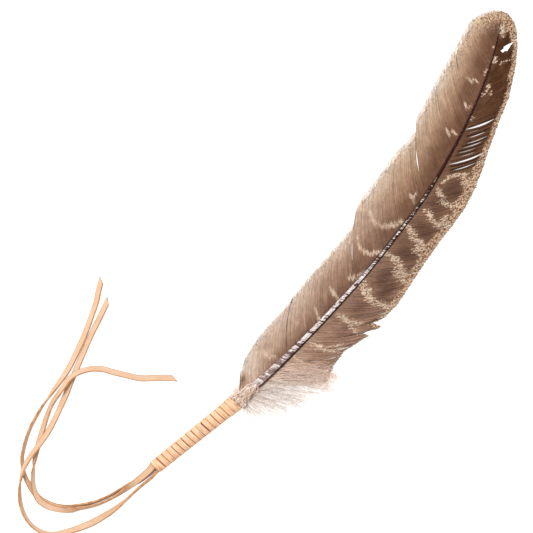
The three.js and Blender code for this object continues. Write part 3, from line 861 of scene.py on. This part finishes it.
def strip_map(barbs, steps, columns=1):
    """A bake map with a strip of its own for the top and for the underside of each barb."""
    per = math.ceil(barbs / columns)
    k = np.arange(barbs)
    row, column = k % per, k // per
    width = 1 / columns
    u0 = column * width
    long = width * 0.48
    u = np.linspace(0, 1, steps + 1)
    sides = np.zeros((barbs, steps, 4, 4, 2))
    for s in range(4):
        half = 0 if s < 2 else 1
        low = [0.04, 0.5, 0.04, 0.5][s]
        high = low + 0.44
        a = u0[:, None] + half * width * 0.5 + u[None, :-1] * long * 0.96
        b = u0[:, None] + half * width * 0.5 + u[None, 1:] * long * 0.96
        v_low, v_high = ((row + low) / per)[:, None] + 0 * a, ((row + high) / per)[:, None] + 0 * a
        corners = [(a, v_low), (b, v_low), (b, v_high), (a, v_high)]
        for c, (cu, cv) in enumerate(corners):
            sides[:, :, s, c, 0], sides[:, :, s, c, 1] = cu, cv
    caps = []
    for half in (0, 1):
        a = u0 + half * width * 0.5 + long * 0.965
        b = a + long * 0.03
        v_low, v_high = (row + 0.1) / per, (row + 0.9) / per
        corners = [(a, v_low), (b, v_low), (b, v_high), (a, v_high)]
        caps.append(np.stack([np.stack(c, -1) for c in corners], 1))
    return np.vstack([sides.reshape(-1, 2), caps[0].reshape(-1, 2), caps[1].reshape(-1, 2)])


def stroke_field(x, y, marks):
    """How close each point is to the nearest mark: 1 on its middle line, 0.5 at its edge."""
    field = np.zeros(x.shape)
    for half, points in marks:
        for (ax, ay), (bx, by) in zip(points[:-1], points[1:]):
            length = (bx - ax) ** 2 + (by - ay) ** 2
            t = np.clip(((x - ax) * (bx - ax) + (y - ay) * (by - ay)) / length, 0, 1)
            distance = np.hypot(x - ax - t * (bx - ax), y - ay - t * (by - ay))
            field = np.maximum(field, np.exp2(-((distance / half) ** 2)))
    return field


def along_barbs(full, rows, at):
    """Points on the barbs of the given rows, at a number of steps from the shaft."""
    low = np.minimum(at.astype(int), BARB_STEPS - 1)
    part = (at - low)[..., None]
    return full[rows, low] * (1 - part) + full[rows, low + 1] * part


def barb_spacing(full, tangent, stretch_of):
    """How far apart neighbours of one stretch lie, square to the barbs."""
    between = np.diff(full[..., :2], axis=0)
    gap = np.abs(tangent[:-1, :, 0] * between[..., 1] - tangent[:-1, :, 1] * between[..., 0])
    gap = np.where((np.diff(stretch_of) == 0)[:, None], gap, np.nan)
    both = np.stack([np.vstack([gap, gap[-1:]]), np.vstack([gap[:1], gap])])
    return np.clip(np.nanmean(both, axis=0), 0.24, 1.0)


def open_splits(full, roots, side, splits):
    """Parts the barbs where the vane has split, and at the torn hole of the barred side."""
    for root, low, high, wide in splits:
        f = np.linspace(low, high, 9)
        ends = [np.interp(root, roots[:, 0], roots[:, c]) for c in (1, 2)]
        middle = barb_curves(np.array([[root, *ends, 0]]), side, 200)[0]
        line = np.stack([np.interp(f, np.linspace(0, 1, 201), middle[:, c]) for c in (0, 1)], 1)
        profile = (wide / 2 + 0.14) * np.sin(np.linspace(0.05, math.pi - 0.05, 9))
        gape(full, line, profile, SPLIT_REACH)
    if side < 0:
        gape(full, [p[:2] for p in HOLE], [p[2] for p in HOLE], HOLE_REACH)


def lapping(root_x, f, lines):
    """Where barbs lie over each other: how dark their painted shadow is, and how far the barbs step
    up.
    """
    painted_shade = np.zeros((len(root_x), len(f)))
    rise = 0.10 * np.sin(root_x / 3.1 + 2.5 * f) + 0.07 * np.sin(root_x / 1.3 - 4 * f)
    for root, start, end in lines:
        cover = smoothstep(start - 0.06, start + 0.04, f)
        cover = cover * (1 - smoothstep(end - 0.04, end + 0.06, f))
        painted_shade = np.maximum(painted_shade, np.exp(-(((root_x - root) / 0.42) ** 2)) * cover)
        rise += 0.22 * cover * np.exp(-np.abs(root_x - root) / 1.4) * np.sign(root_x - root)
    return painted_shade, rise


def patch_shade(x, y, patches):
    shade = np.zeros(x.shape)
    for px, py, a, b, amount in patches:
        shade += amount * np.exp(-(((x - px) / a) ** 2 + ((y - py) / b) ** 2))
    return shade


def oval_field(x, y):
    field = np.zeros(x.shape)
    for ox, oy, a, b, strength in OVALS:
        away = ((x - ox) / a) ** 2 + ((y - oy) / b) ** 2
        field = np.maximum(field, strength * np.exp(-(away**1.5)))
    return field


def vane(name, stretches, side, splits, lines, patches, marks, material, seed):
    """One side of the vane: a thin bar for each barb, with its marks as values at its points."""
    rng = np.random.default_rng(seed)
    roots = barb_roots(stretches)
    count = len(roots)
    root_x = roots[:, :1]
    full = barb_curves(roots, side, BARB_STEPS)
    tangent = normalised(np.gradient(full, axis=1))[..., :2]
    spacing = barb_spacing(full, tangent, roots[:, 3])
    open_splits(full, roots, side, splits)
    # Barbs differ a little in length, course and height; the ends fray.
    f = np.linspace(0, 1, BARB_STEPS + 1)
    reach = 1 + rng.normal(0.0, 0.009 if side > 0 else 0.007, count)
    reach += np.where(rng.random(count) < 0.06, rng.uniform(-0.06, 0.02, count), 0)
    at = np.clip(f[None] * reach[:, None] * BARB_STEPS, 0, BARB_STEPS * 1.04)
    curves = along_barbs(full, np.arange(count)[:, None], at)
    wave = rng.normal(0, 1, (count, 3))
    loose = 1 + (5 * np.exp(-(root_x - LOOSE_FROM) / 4.5) if side < 0 else 0)
    sway = wave[:, :1] + 0.6 * wave[:, 1:2] * np.sin(7 * f + wave[:, 2:3])
    normal = np.stack([-tangent[..., 1], tangent[..., 0]], -1)
    curves[..., :2] += normal * (0.11 * f**2 * sway * loose)[..., None]
    painted_shade, ripple = lapping(root_x, f, lines)
    inside = smoothstep(0, 0.12, f) * (1 - 0.5 * smoothstep(0.8, 1, f))
    curves[..., 2] += (ripple + rng.normal(0, 0.035, (count, 1))) * inside
    curves[..., 2] = np.maximum(curves[..., 2], BARB_LOWEST)
    # The bars of the barbs: slim at the ends, and wide enough to lie over their neighbours.
    thin = 0.18 * smoothstep(0.9, 1.0, f) if side > 0 else 0.15 * smoothstep(0.95, 1.0, f)
    taper = (1 - thin) * (1 - 0.7 * smoothstep(0.95, 1.0, f) ** 1.5)
    if side < 0:
        low_down = 1 - smoothstep(LOOSE_FROM, LOOSE_TO, root_x)
        taper = taper * (1 - 0.6 * low_down * smoothstep(0.1, 0.5, f))
        sunk = curves[..., 2] * (1 - 0.5 * low_down * smoothstep(0.05, 0.4, f))
        curves[..., 2] = np.maximum(sunk, BARB_LOWEST)
    half_width = BARB_OVERLAP / 2 * spacing * taper * (1 + rng.normal(0, 0.06, (count, 1)))
    if side > 0:
        half_width *= 1 + (0.3 + 0.3 * smoothstep(200, 225, root_x)) * smoothstep(0.6, 0.9, f)
    else:
        half_width *= 1 + 0.7 * smoothstep(0.55, 0.8, f) * np.exp(-(((root_x - 115) / 6) ** 2))
    half_height = BARB_HALF_HEIGHT * taper * np.ones((count, 1))
    rings = strips(curves, half_width, half_height, BARB_LEAN)
    rings[..., 2] = np.maximum(rings[..., 2], BARB_CLEAR)
    x, y = rings[..., 0], rings[..., 1]
    run = np.cumsum(np.linalg.norm(np.diff(full, axis=1), axis=2), 1)
    run = np.concatenate([np.zeros((count, 1)), run], 1)
    # Each barb carries its part of a mark a little further out or in than the next.
    shift = rng.normal(0, 1, count)
    shift = 0.75 * shift + 0.8 * np.convolve(rng.normal(0, 1, count), [0.25, 0.5, 0.25], "same")
    shift *= 0.62 if side > 0 else 0.9
    moved = tangent * shift[:, None, None]
    moved_x, moved_y = x + moved[..., :1], y + moved[..., 1:]
    each = rng.random(count)[:, None, None]
    attributes = {
        "barb": (root_x[..., None], run[..., None], each * 40),
        "tip_mm": (reach[:, None] * (run[:, -1:] - run))[..., None],
        "each": each, "marked": stroke_field(moved_x, moved_y, marks), "lap_shadow": painted_shade[..., None],
        "oval": oval_field(moved_x, moved_y), "shade": patch_shade(x, y, patches),
        "out": f[:, None], "far": x / FAR,
    }
    new_piece(
        name, rings, strip_faces(count, BARB_STEPS), attributes, material,
        bake_map=strip_map(count, BARB_STEPS))
    fringe(name + "_fringe", full, side, rng)


PLAIN_HAIRS = 2200
BARRED_HAIRS = 1100
EDGE_HAIR_STEPS = 5


def fringe(name, full, side, rng):
    """Soft hairs that feather the edge of the vane."""
    count = PLAIN_HAIRS if side > 0 else BARRED_HAIRS
    pick = rng.integers(0, len(full), count)
    inner = rng.uniform(0.90, 0.96, count)
    outer = 1 + rng.uniform(-0.03, 0.034 if side > 0 else 0.018, count)
    t = np.linspace(0, 1, EDGE_HAIR_STEPS + 1)[None]
    at = (inner[:, None] + (outer - inner)[:, None] * t) * BARB_STEPS
    curves = along_barbs(full, pick[:, None], at)
    along = normalised(full[pick, -1] - full[pick, -4])
    sideways = np.cross(along, [0, 0, 1])[:, None]
    off = rng.normal(0, 0.25, (count, 1, 1))
    off = off + rng.normal(0.1, 0.35, (count, 1, 1)) * t[..., None] ** 2
    curves = curves + sideways * off
    curves[..., 2] = np.clip(curves[..., 2] + rng.uniform(-0.1, 0.15, (count, 1)), 0.12, None)
    width = 0.17 * (1 - 0.7 * t) * np.ones((count, 1))
    rings = strips(curves, width, width * 0.35)
    rings[..., 2] = np.maximum(rings[..., 2], HAIR_CLEAR)
    each = rng.random(count)[:, None, None]
    attributes = {
        "barb": (each * 90, t[..., None] * 4, each * 40),
        "each": each, "tip": t[..., None], "far": rings[..., 0] / FAR,
    }
    new_piece(
        name, rings, strip_faces(count, EDGE_HAIR_STEPS), attributes, fringe_material(name, side),
        bake_map=strip_map(count, EDGE_HAIR_STEPS, 4))


def fringe_material(name, side):
    g = Graph(name, 0.75, specular=0.1, sheen=0.1)
    each, tip, far = g.attribute("each"), g.attribute("tip"), g.attribute("far")
    if side > 0:
        tint = g.mix(each, HAIR_BROWN, HAIR_PALE)
    else:
        tint = g.mix(g.step(each, 0.3, 0.7), HAIR_TAN, HAIR_SANDY)
        tint = g.mix(g.step(far, 0.45, 0.36), tint, HAIR_BASE)
    return g.finish(g.lay(tint, HAIR_END, tip, 0.5 if side > 0 else 0.2))


HAIR_BROWN = (0.56, 0.42, 0.33, 1)
HAIR_PALE = (0.82, 0.74, 0.68, 1)
HAIR_TAN = colour(164, 118, 84)
HAIR_SANDY = (0.56, 0.38, 0.26, 1)
HAIR_BASE = colour(186, 152, 132)
HAIR_END = (0.7, 0.62, 0.55, 1)


def sandy_margin(g):
    """Tan speckled with brown, as the feather's rim is."""
    grains = g.noise(g.place(), (1150, 1150, 300), detail=2, roughness=0.6)
    return g.mix(g.step(grains, 0.42, 0.54), MARGIN_DARK, MARGIN_LIGHT)


def vane_values(g, own):
    """The values at a barb's points that a vane's material reads, ending with its own one."""
    names = ("out", "far", "tip_mm", "each", "marked", "lap_shadow", own)
    return [g.attribute("barb", vector=True)] + [g.attribute(name) for name in names]


def plain_material():
    """The plain side: taupe by the shaft, paler outwards, streaked, with peach streaks of painted
    sheen and a speckled soft edge.
    """
    g = Graph("vane_plain", 0.7, specular=0.06)
    barb, out, far, tip, each, marked, lap_shadow, shade = vane_values(g, "shade")
    streak = g.step(g.noise(barb, (0.85, 0.07, 0.0), detail=4, roughness=0.65), 0.3, 0.7)
    fine = g.step(g.noise(barb, (1.3, 0.35, 0.0), detail=3, roughness=0.6), 0.3, 0.7)
    cloud = g.noise(barb, (0.05, 0.09, 0.0), detail=3)
    mottle = g.step(g.noise(barb, (0.95, 0.6, 0.0), detail=4, roughness=0.65), 0.3, 0.7)
    dots = g.noise(g.place(), (900, 900, 300), detail=2, roughness=0.6)
    fading = g.step(g.noise(g.place(), (330, 330, 100), detail=2, roughness=0.6), 0.36, 0.56)
    marked = g.times(marked, g.plus(g.times(fading, 0.5), 0.5))
    at = g.plus(g.plus(out, shade), g.times(cloud, 0.3))
    at = g.minus(at, 0.11)
    tint = g.shades(g.plus(at, g.times(g.minus(streak, 0.5), 0.14)), [
        (0.0, 129, 96, 79), (0.2, 147, 112, 93), (0.5, 184, 149, 127),
        (0.78, 220, 190, 168), (0.92, 232, 208, 191), (1.0, 240, 224, 213),
    ])
    tint = g.mix(g.step(far, 0.5, 0.68), tint, (0.94, 0.9, 0.81, 1), "MULTIPLY")
    # Painted sheen: the palest streaks in the middle of the vane take a peach highlight.
    peach_sheen = g.times(g.step(streak, 0.72, 1.0), g.step(at, 0.2, 0.6))
    tint = g.lay(tint, PEACH_TONE_AND_SHEEN, peach_sheen, 0.4)
    speck = g.times(g.step(dots, 0.5, 0.58), g.step(tip, 14.0, 2.0))
    tint = g.lay(tint, CREAM, speck, 0.6)
    spot = g.times(g.step(dots, 0.47, 0.38), g.step(tip, 12.0, 3.0))
    tint = g.lay(tint, PLAIN_SPOT, spot, 0.5)
    crown = g.times(g.step(far, 0.925, 0.96), g.step(tip, 7.0, 3.5))
    tint = g.lay(tint, sandy_margin(g), crown, 0.8)
    tint = g.lay(tint, PEACH_TONE_AND_SHEEN, g.step(marked, 0.02, 0.7), 0.45)
    uneven = g.times(g.minus(mottle, 0.5), 0.8)
    ragged = g.plus(marked, g.times(uneven, g.step(marked, 0.05, 0.4)))
    tint = g.lay(tint, CREAM, g.step(ragged, 0.45, 0.85), 0.82)
    blur = g.noise(g.place(), (260, 260, 100), detail=3, roughness=0.6)
    tint = g.brighten(tint, g.spread(g.step(blur, 0.25, 0.75), 0.1))
    # Painted shadow where barbs lie over each other.
    tint = g.lay(tint, LAP_SHADOW, lap_shadow, 0.75)
    tint = g.brighten(tint, g.spread(fine, 0.13))
    tint = g.brighten(tint, g.spread(each, 0.11))
    return g.finish(tint)


def barred_material():
    """The barred side: brown, cream bars between darker ovals, and a speckled tan margin."""
    g = Graph("vane_barred", 0.7, specular=0.06)
    barb, _, far, tip, each, marked, lap_shadow, oval = vane_values(g, "oval")
    streak = g.step(g.noise(barb, (0.9, 0.07, 0.0), detail=4, roughness=0.65), 0.3, 0.7)
    fine = g.step(g.noise(barb, (1.3, 0.35, 0.0), detail=3, roughness=0.6), 0.3, 0.7)
    mottle = g.step(g.noise(barb, (0.85, 0.55, 0.0), detail=4, roughness=0.7), 0.3, 0.7)
    cloud = g.noise(barb, (0.1, 0.13, 0.0), detail=3)
    tint = g.shades(far, [
        (0.24, 242, 216, 197), (0.28, 234, 202, 180), (0.32, 190, 152, 130),
        (0.4, 172, 136, 117), (0.55, 155, 121, 101), (0.72, 138, 103, 81),
        (0.84, 108, 75, 56), (0.95, 95, 64, 46), (1.0, 112, 82, 61),
    ])
    tint = g.lay(tint, BARRED_WARM, g.step(cloud, 0.45, 0.7), 0.4)
    tint = g.lay(tint, BAR_TAN, g.step(marked, 0.04, 0.55), 0.6)
    tint = g.lay(tint, OVAL, oval, 0.8)
    tint = g.brighten(tint, g.spread(streak, 0.15))
    tint = g.lay(tint, BASE_BROWN, g.step(streak, 0.5, 0.15), g.step(far, 0.33, 0.27))
    tint = g.brighten(tint, g.plus(g.attribute("shade"), 1.0))
    # The bars break up into wavy cream streaks along the barbs, with brown between them.
    uneven = g.minus(mottle, 0.5)
    worm = g.noise(barb, (0.8, 0.5, 0.0), detail=2, roughness=0.55, distortion=1.3)
    broken = g.times(g.minus(g.step(worm, 0.36, 0.64), 0.5), g.step(marked, 0.0, 0.2))
    ragged = g.plus(g.times(marked, 0.62), g.times(uneven, 0.3))
    ragged = g.plus(ragged, broken)
    tint = g.lay(tint, BAR_CREAM, g.step(ragged, 0.33, 0.53), 0.9)
    # The margin: an uneven band of tan speckled with brown, widest halfway up the feather.
    wide = g.levels(far, [
        (0.36, 0), (0.45, 0.5), (0.58, 0.8),
        (0.7, 0.85), (0.8, 0.4), (0.95, 0.36),
        (1.0, 0.7),
    ])
    edge = g.minus(tip, g.times(g.minus(cloud, 0.5), 6.0))
    edge = g.minus(edge, g.times(uneven, 1.6))
    edge = g.minus(edge, g.times(wide, 10.0))
    band = g.times(g.step(edge, 1.2, -0.8), g.step(far, 0.33, 0.42))
    tint = g.lay(tint, sandy_margin(g), band, 0.9)
    pale = g.times(g.step(far, 0.44, 0.5), 0.55)
    tint = g.lay(tint, BARRED_EDGE, g.step(tip, 1.1, 0.1), pale)
    # Painted shadow where barbs lie over each other.
    tint = g.lay(tint, LAP_SHADOW, lap_shadow, 0.85)
    tint = g.brighten(tint, g.spread(fine, 0.17))
    tint = g.brighten(tint, g.spread(each, 0.16))
    return g.finish(tint)


CREAM = colour(240, 212, 188)
BAR_CREAM = colour(246, 220, 194)
LAP_SHADOW = colour(56, 34, 24)
PEACH_TONE_AND_SHEEN = colour(228, 194, 166)
PLAIN_SPOT = colour(148, 108, 80)
BARRED_WARM = colour(152, 114, 88)
BAR_TAN = colour(186, 146, 116)
BASE_BROWN = colour(168, 126, 104)
BARRED_EDGE = colour(214, 180, 148)
OVAL = colour(110, 81, 68)
MARGIN_LIGHT = colour(244, 212, 180)
MARGIN_DARK = colour(142, 94, 60)


# ---------------------------------------------------------------- down
# Where the down barbs end: x on the shaft, x and y of the end, and how brown they are.
DOWN_RIGHT = [
    (57.5, 53, -21, 0.1), (58.5, 56, -33.5, 0.0), (60.5, 63.5, -42.5, 0.0), (63, 71, -45.5, 0.0),
    (67, 79, -48, 0.05), (71, 87, -51.2, 0.1), (76, 93, -51.8, 0.5), (80, 98, -51.5, 0.8),
    (85, 103, -48, 0.7),
]
DOWN_LEFT = [(56.5, 55, -7.5, 0.1), (59, 59, -8.5, 0.2), (62, 64, -9.5, 0.5)]
DOWN_STEPS = 18
HAIR_STEPS = 3
HAIRS_PER_BARB = 20
TUFT_BARBS = 420
DOWN_SEED = 5
DOWN_LOWEST = 0.25
DOWN_HIGHEST = 7.6
TUFT_HIGHEST = 9.4
# Where the shaft leaves the down, which is rosiest there.
DOWN_ROOT = (62, -17)


def barb_hairs(rng, f, line, tangent):
    """The fine hairs that a down barb carries on both its sides."""
    hairs = HAIRS_PER_BARB
    at = rng.uniform(0.02, 1.0, hairs) ** 0.7
    spot, along = (
        np.stack([np.interp(at, f, of[:, c]) for c in range(3)], 1) for of in (line, tangent))
    lateral = normalised(np.cross(along, [0, 0, 1])) * rng.choice([-1, 1], hairs)[:, None]
    grow = along + lateral * rng.uniform(0.4, 1.0, (hairs, 1))
    grow[:, 2] += rng.normal(0, 0.25, hairs)
    grow = normalised(grow) * (rng.uniform(1.0, 3.6, hairs) * (1.0 - 0.25 * at))[:, None]
    t = np.linspace(0, 1, HAIR_STEPS + 1)[None, :, None]
    hair = spot[:, None] + grow[:, None] * t
    return hair + along[:, None] * t**2 * rng.normal(0.5, 0.5, (hairs, 1, 1))


def down():
    """The down on both sides of the lower shaft, and the fluff over the quill."""
    rng = np.random.default_rng(DOWN_SEED)
    # Table, side, number of barbs, the shortest one's share of the length, extra brown.
    groups = [
        (DOWN_RIGHT, -1, 230, 0.75, 0.0), (DOWN_RIGHT, -1, 40, 0.3, 0.3),
        (DOWN_LEFT, 1, 16, 0.5, 0.3),
    ]
    lines, tones, hair_lines, hair_tones = [], [], [], []
    for table, side, count, shortest, warmth in groups:
        table = np.array(table, float)
        row = (len(table) - 1) * rng.random(count) ** 0.72
        x = np.interp(np.sort(row), np.arange(len(table)), table[:, 0])
        end = np.stack([np.interp(x, table[:, 0], table[:, c]) for c in (1, 2, 3)], 1)
        base = rows_at(SHAFT, x)
        start = base[:, :3].copy()
        start[:, 1] += side * base[:, 3] * 0.7
        start[:, 2] -= base[:, 3] * rng.uniform(-0.2, 0.6, count)
        reach = rng.uniform(shortest, 1.14, count)[:, None]
        reach = np.where(end[:, 2:] > 0.3, 0.5 + 0.55 * reach, reach)
        chord = np.c_[end[:, :2] + rng.normal(0, 1.6, (count, 2)), np.zeros(count)] - start
        chord[:, 2] = rng.uniform(0.3, 2.6, count) - start[:, 2]
        f = np.linspace(0, 1, DOWN_STEPS + 1)[None, :, None]
        away = np.stack([-chord[:, 1], chord[:, 0], 0 * chord[:, 0]], 1)[:, None]
        bend = rng.normal(-0.10 * side, 0.13, count)[:, None, None]
        curl = rng.normal(0, 0.035, (count, 1, 1)) * np.sin(rng.uniform(4, 9, (count, 1, 1)) * f)
        line = start[:, None] + chord[:, None] * reach[:, None] * f
        line = line + away * (bend * f * (1 - f) * 2 + curl)
        line[..., 2] = start[:, None, 2] + chord[:, None, 2] * f[..., 0] ** 0.8
        line[..., 2] += 0.25 * np.sin(6 * f[..., 0] + rng.uniform(0, 6, (count, 1)))
        line[..., 2] += rng.uniform(0, 1.5, (count, 1)) * np.sin(math.pi * f[..., 0])
        lines.append(line)
        tones.append(np.clip(end[:, 2] + warmth * rng.random(count), 0, 1))
        tangent = normalised(np.gradient(line, axis=1))
        for k in range(count):
            hair_lines.append(barb_hairs(rng, f[0, :, 0], line[k], tangent[k]))
            hair_tones.append(np.full(HAIRS_PER_BARB, tones[-1][k]))
    main, tone = np.vstack(lines), np.concatenate(tones)
    hair, hair_tone = np.vstack(hair_lines), np.concatenate(hair_tones)
    tuft, tuft_tone = quill_tuft(rng)
    strand = down_material("down_strand", STRAND_WHITE, STRAND_CREAM, STRAND_GREY)
    fluff = down_material("down_fluff", DOWN_WHITE, DOWN_CREAM, DOWN_GREY)
    for name, curves, tint, wide, columns, material in (
        ("down_barbs", main, tone, 0.15, 1, strand),
        ("down_hairs", hair[::2], hair_tone[::2], 0.05, 12, fluff),
        ("down_wisps", hair[1::2], hair_tone[1::2], 0.05, 12, fluff),
        ("down_tuft", tuft, tuft_tone, 0.15, 1, tuft_material()),
    ):
        count, points = curves.shape[:2]
        highest = TUFT_HIGHEST if name == "down_tuft" else DOWN_HIGHEST
        curves[..., 2] = np.clip(curves[..., 2], DOWN_LOWEST, highest)
        f = np.linspace(0, 1, points)
        width = wide * (1 - 0.8 * f)[None] * np.ones((count, 1))
        rings = strips(curves, width, width * 0.6)
        each = rng.random(count)[:, None, None]
        from_root = np.hypot(rings[..., 0] - DOWN_ROOT[0], rings[..., 1] - DOWN_ROOT[1])
        attributes = {
            "barb": (each * 90, f[:, None] * 10, each * 40),
            "each": each, "brown": tint[:, None, None], "near": np.exp(-from_root / 10),
        }
        new_piece(
            name, rings, strip_faces(count, points - 1), attributes, material,
            bake_map=strip_map(count, points - 1, columns))


def quill_tuft(rng):
    """Short matted fluff that lies back over the quill where the winding ends."""
    count = TUFT_BARBS
    x = 57.6 + 12.4 * rng.random(count) ** 1.5
    turned = rng.uniform(-2.0, 1.5, count)
    f = np.linspace(0, 1, DOWN_STEPS + 1)[None]
    # Some of it lies over the last turn of the winding.
    back = np.minimum(rng.uniform(1.5, 11.0, count), x - rng.uniform(54.6, 56.6, count))[:, None]
    at = x[:, None] - back * f
    turn = turned[:, None] * (1 + 0.25 * f) - rng.uniform(-0.2, 0.9, (count, 1)) * f
    wave = np.sin(rng.uniform(5, 12, (count, 1)) * f + rng.uniform(0, 6, (count, 1)))
    turn = turn + rng.normal(0, 0.2, (count, 1)) * wave * f
    rows = rows_at(SHAFT, at)
    out = rows[..., 3] * 0.95 + 0.1 + rng.uniform(0, 2.0, (count, 1)) ** 1.5 * np.sin(2.2 * f) * 0.7
    over = smoothstep(-59.8, -57.4, -at)
    out = out + (np.maximum(out, 4.95 + rng.uniform(0, 0.5, (count, 1))) - out) * over
    line = np.stack([at, rows[..., 1] + out * np.sin(turn), rows[..., 2] + out * np.cos(turn)], -1)
    return line, np.zeros(count)


def down_material(name, white, cream, grey):
    g = Graph(name, 0.8, specular=0.05, sheen=0.15)
    barb = g.attribute("barb", vector=True)
    each, brown, near = g.attribute("each"), g.attribute("brown"), g.attribute("near")
    patch = g.noise(barb, (1.0, 0.4, 1.0), detail=3)
    tint = g.mix(g.step(patch, 0.35, 0.7), white, cream)
    tint = g.mix(g.step(each, 0.7, 1.0), tint, grey)
    tint = g.lay(tint, DOWN_ROSY, near, 0.4)
    tint = g.lay(tint, DOWN_BROWN, brown, 0.8)
    return g.finish(g.brighten(tint, g.spread(patch, 0.06)))


def tuft_material():
    g = Graph("down_tuft", 0.75, specular=0.1, sheen=0.1)
    barb = g.attribute("barb", vector=True)
    patch = g.noise(barb, (1.0, 0.5, 1.0), detail=3)
    at = g.plus(g.attribute("each"), g.times(g.minus(patch, 0.5), 0.5))
    tint = g.ramp(at, [
        (0.0, (0.3, 0.18, 0.125, 1)), (0.3, (0.52, 0.36, 0.265, 1)), (0.65, (0.82, 0.63, 0.5, 1)),
        (1.0, (0.95, 0.85, 0.75, 1)),
    ])
    return g.finish(tint)


DOWN_WHITE = (0.92, 0.88, 0.84, 1)
DOWN_CREAM = (0.86, 0.79, 0.73, 1)
DOWN_GREY = (0.72, 0.62, 0.54, 1)
STRAND_WHITE = (0.72, 0.65, 0.59, 1)
STRAND_CREAM = (0.55, 0.46, 0.40, 1)
STRAND_GREY = (0.36, 0.29, 0.24, 1)
DOWN_ROSY = (0.70, 0.52, 0.41, 1)
DOWN_BROWN = (0.64, 0.40, 0.28, 1)

PLAIN_SEED, BARRED_SEED = 21, 22
shaft()
vane(
    "vane_plain", PLAIN_SIDE, 1, PLAIN_SPLITS, PLAIN_LINES, PLAIN_PATCHES, PLAIN_MARKS,
    plain_material(), PLAIN_SEED,
)
vane(
    "vane_barred", BARRED_SIDE, -1, BARRED_SPLITS, BARRED_LINES, BARRED_PATCHES, BARRED_MARKS,
    barred_material(), BARRED_SEED,
)
down()


# ---------------------------------------------------------------- floor and light
FLOOR_REACH = 3.0
FLOOR_GLOW = 0.92
WORLD_STRENGTH = 0.85
KEY_DISTANCE = 1.3
KEY_SIZE = 0.5
KEY_POWER = 18.5


def floor():
    verts = [(FLOOR_REACH * x, FLOOR_REACH * y, 0) for x, y in ((-1, -1), (1, -1), (1, 1), (-1, 1))]
    mesh = bpy.data.meshes.new("floor")
    mesh.from_pydata(verts, [], [(0, 1, 2, 3)])
    plane = bpy.data.objects.new("floor", mesh)
    scene.collection.objects.link(plane)
    g = Graph("floor_white", 0.9, specular=0.0)
    g.shader.inputs["Emission Color"].default_value = (1, 1, 1, 1)
    g.shader.inputs["Emission Strength"].default_value = FLOOR_GLOW
    plane.data.materials.append(g.finish((0.4, 0.4, 0.4, 1)))


def area_light(name, direction, distance, size, power):
    data = bpy.data.lights.new(name, "AREA")
    data.shape = "DISK"
    data.size = size
    data.energy = power
    lamp = bpy.data.objects.new(name, data)
    towards = Vector(direction).normalized()
    lamp.location = CENTRE + towards * distance
    lamp.rotation_euler = towards.to_track_quat("Z", "Y").to_euler()
    scene.collection.objects.link(lamp)


floor()
area_light("key", UP * 0.6 - RIGHT * 0.6 + Vector((0, 0, 1.7)), KEY_DISTANCE, KEY_SIZE, KEY_POWER)
world = bpy.data.worlds.new("studio")
scene.world = world
world.use_nodes = True
world.node_tree.nodes["Background"].inputs["Color"].default_value = (1, 1, 1, 1)
world.node_tree.nodes["Background"].inputs["Strength"].default_value = WORLD_STRENGTH
scene.view_settings.view_transform = "Standard"
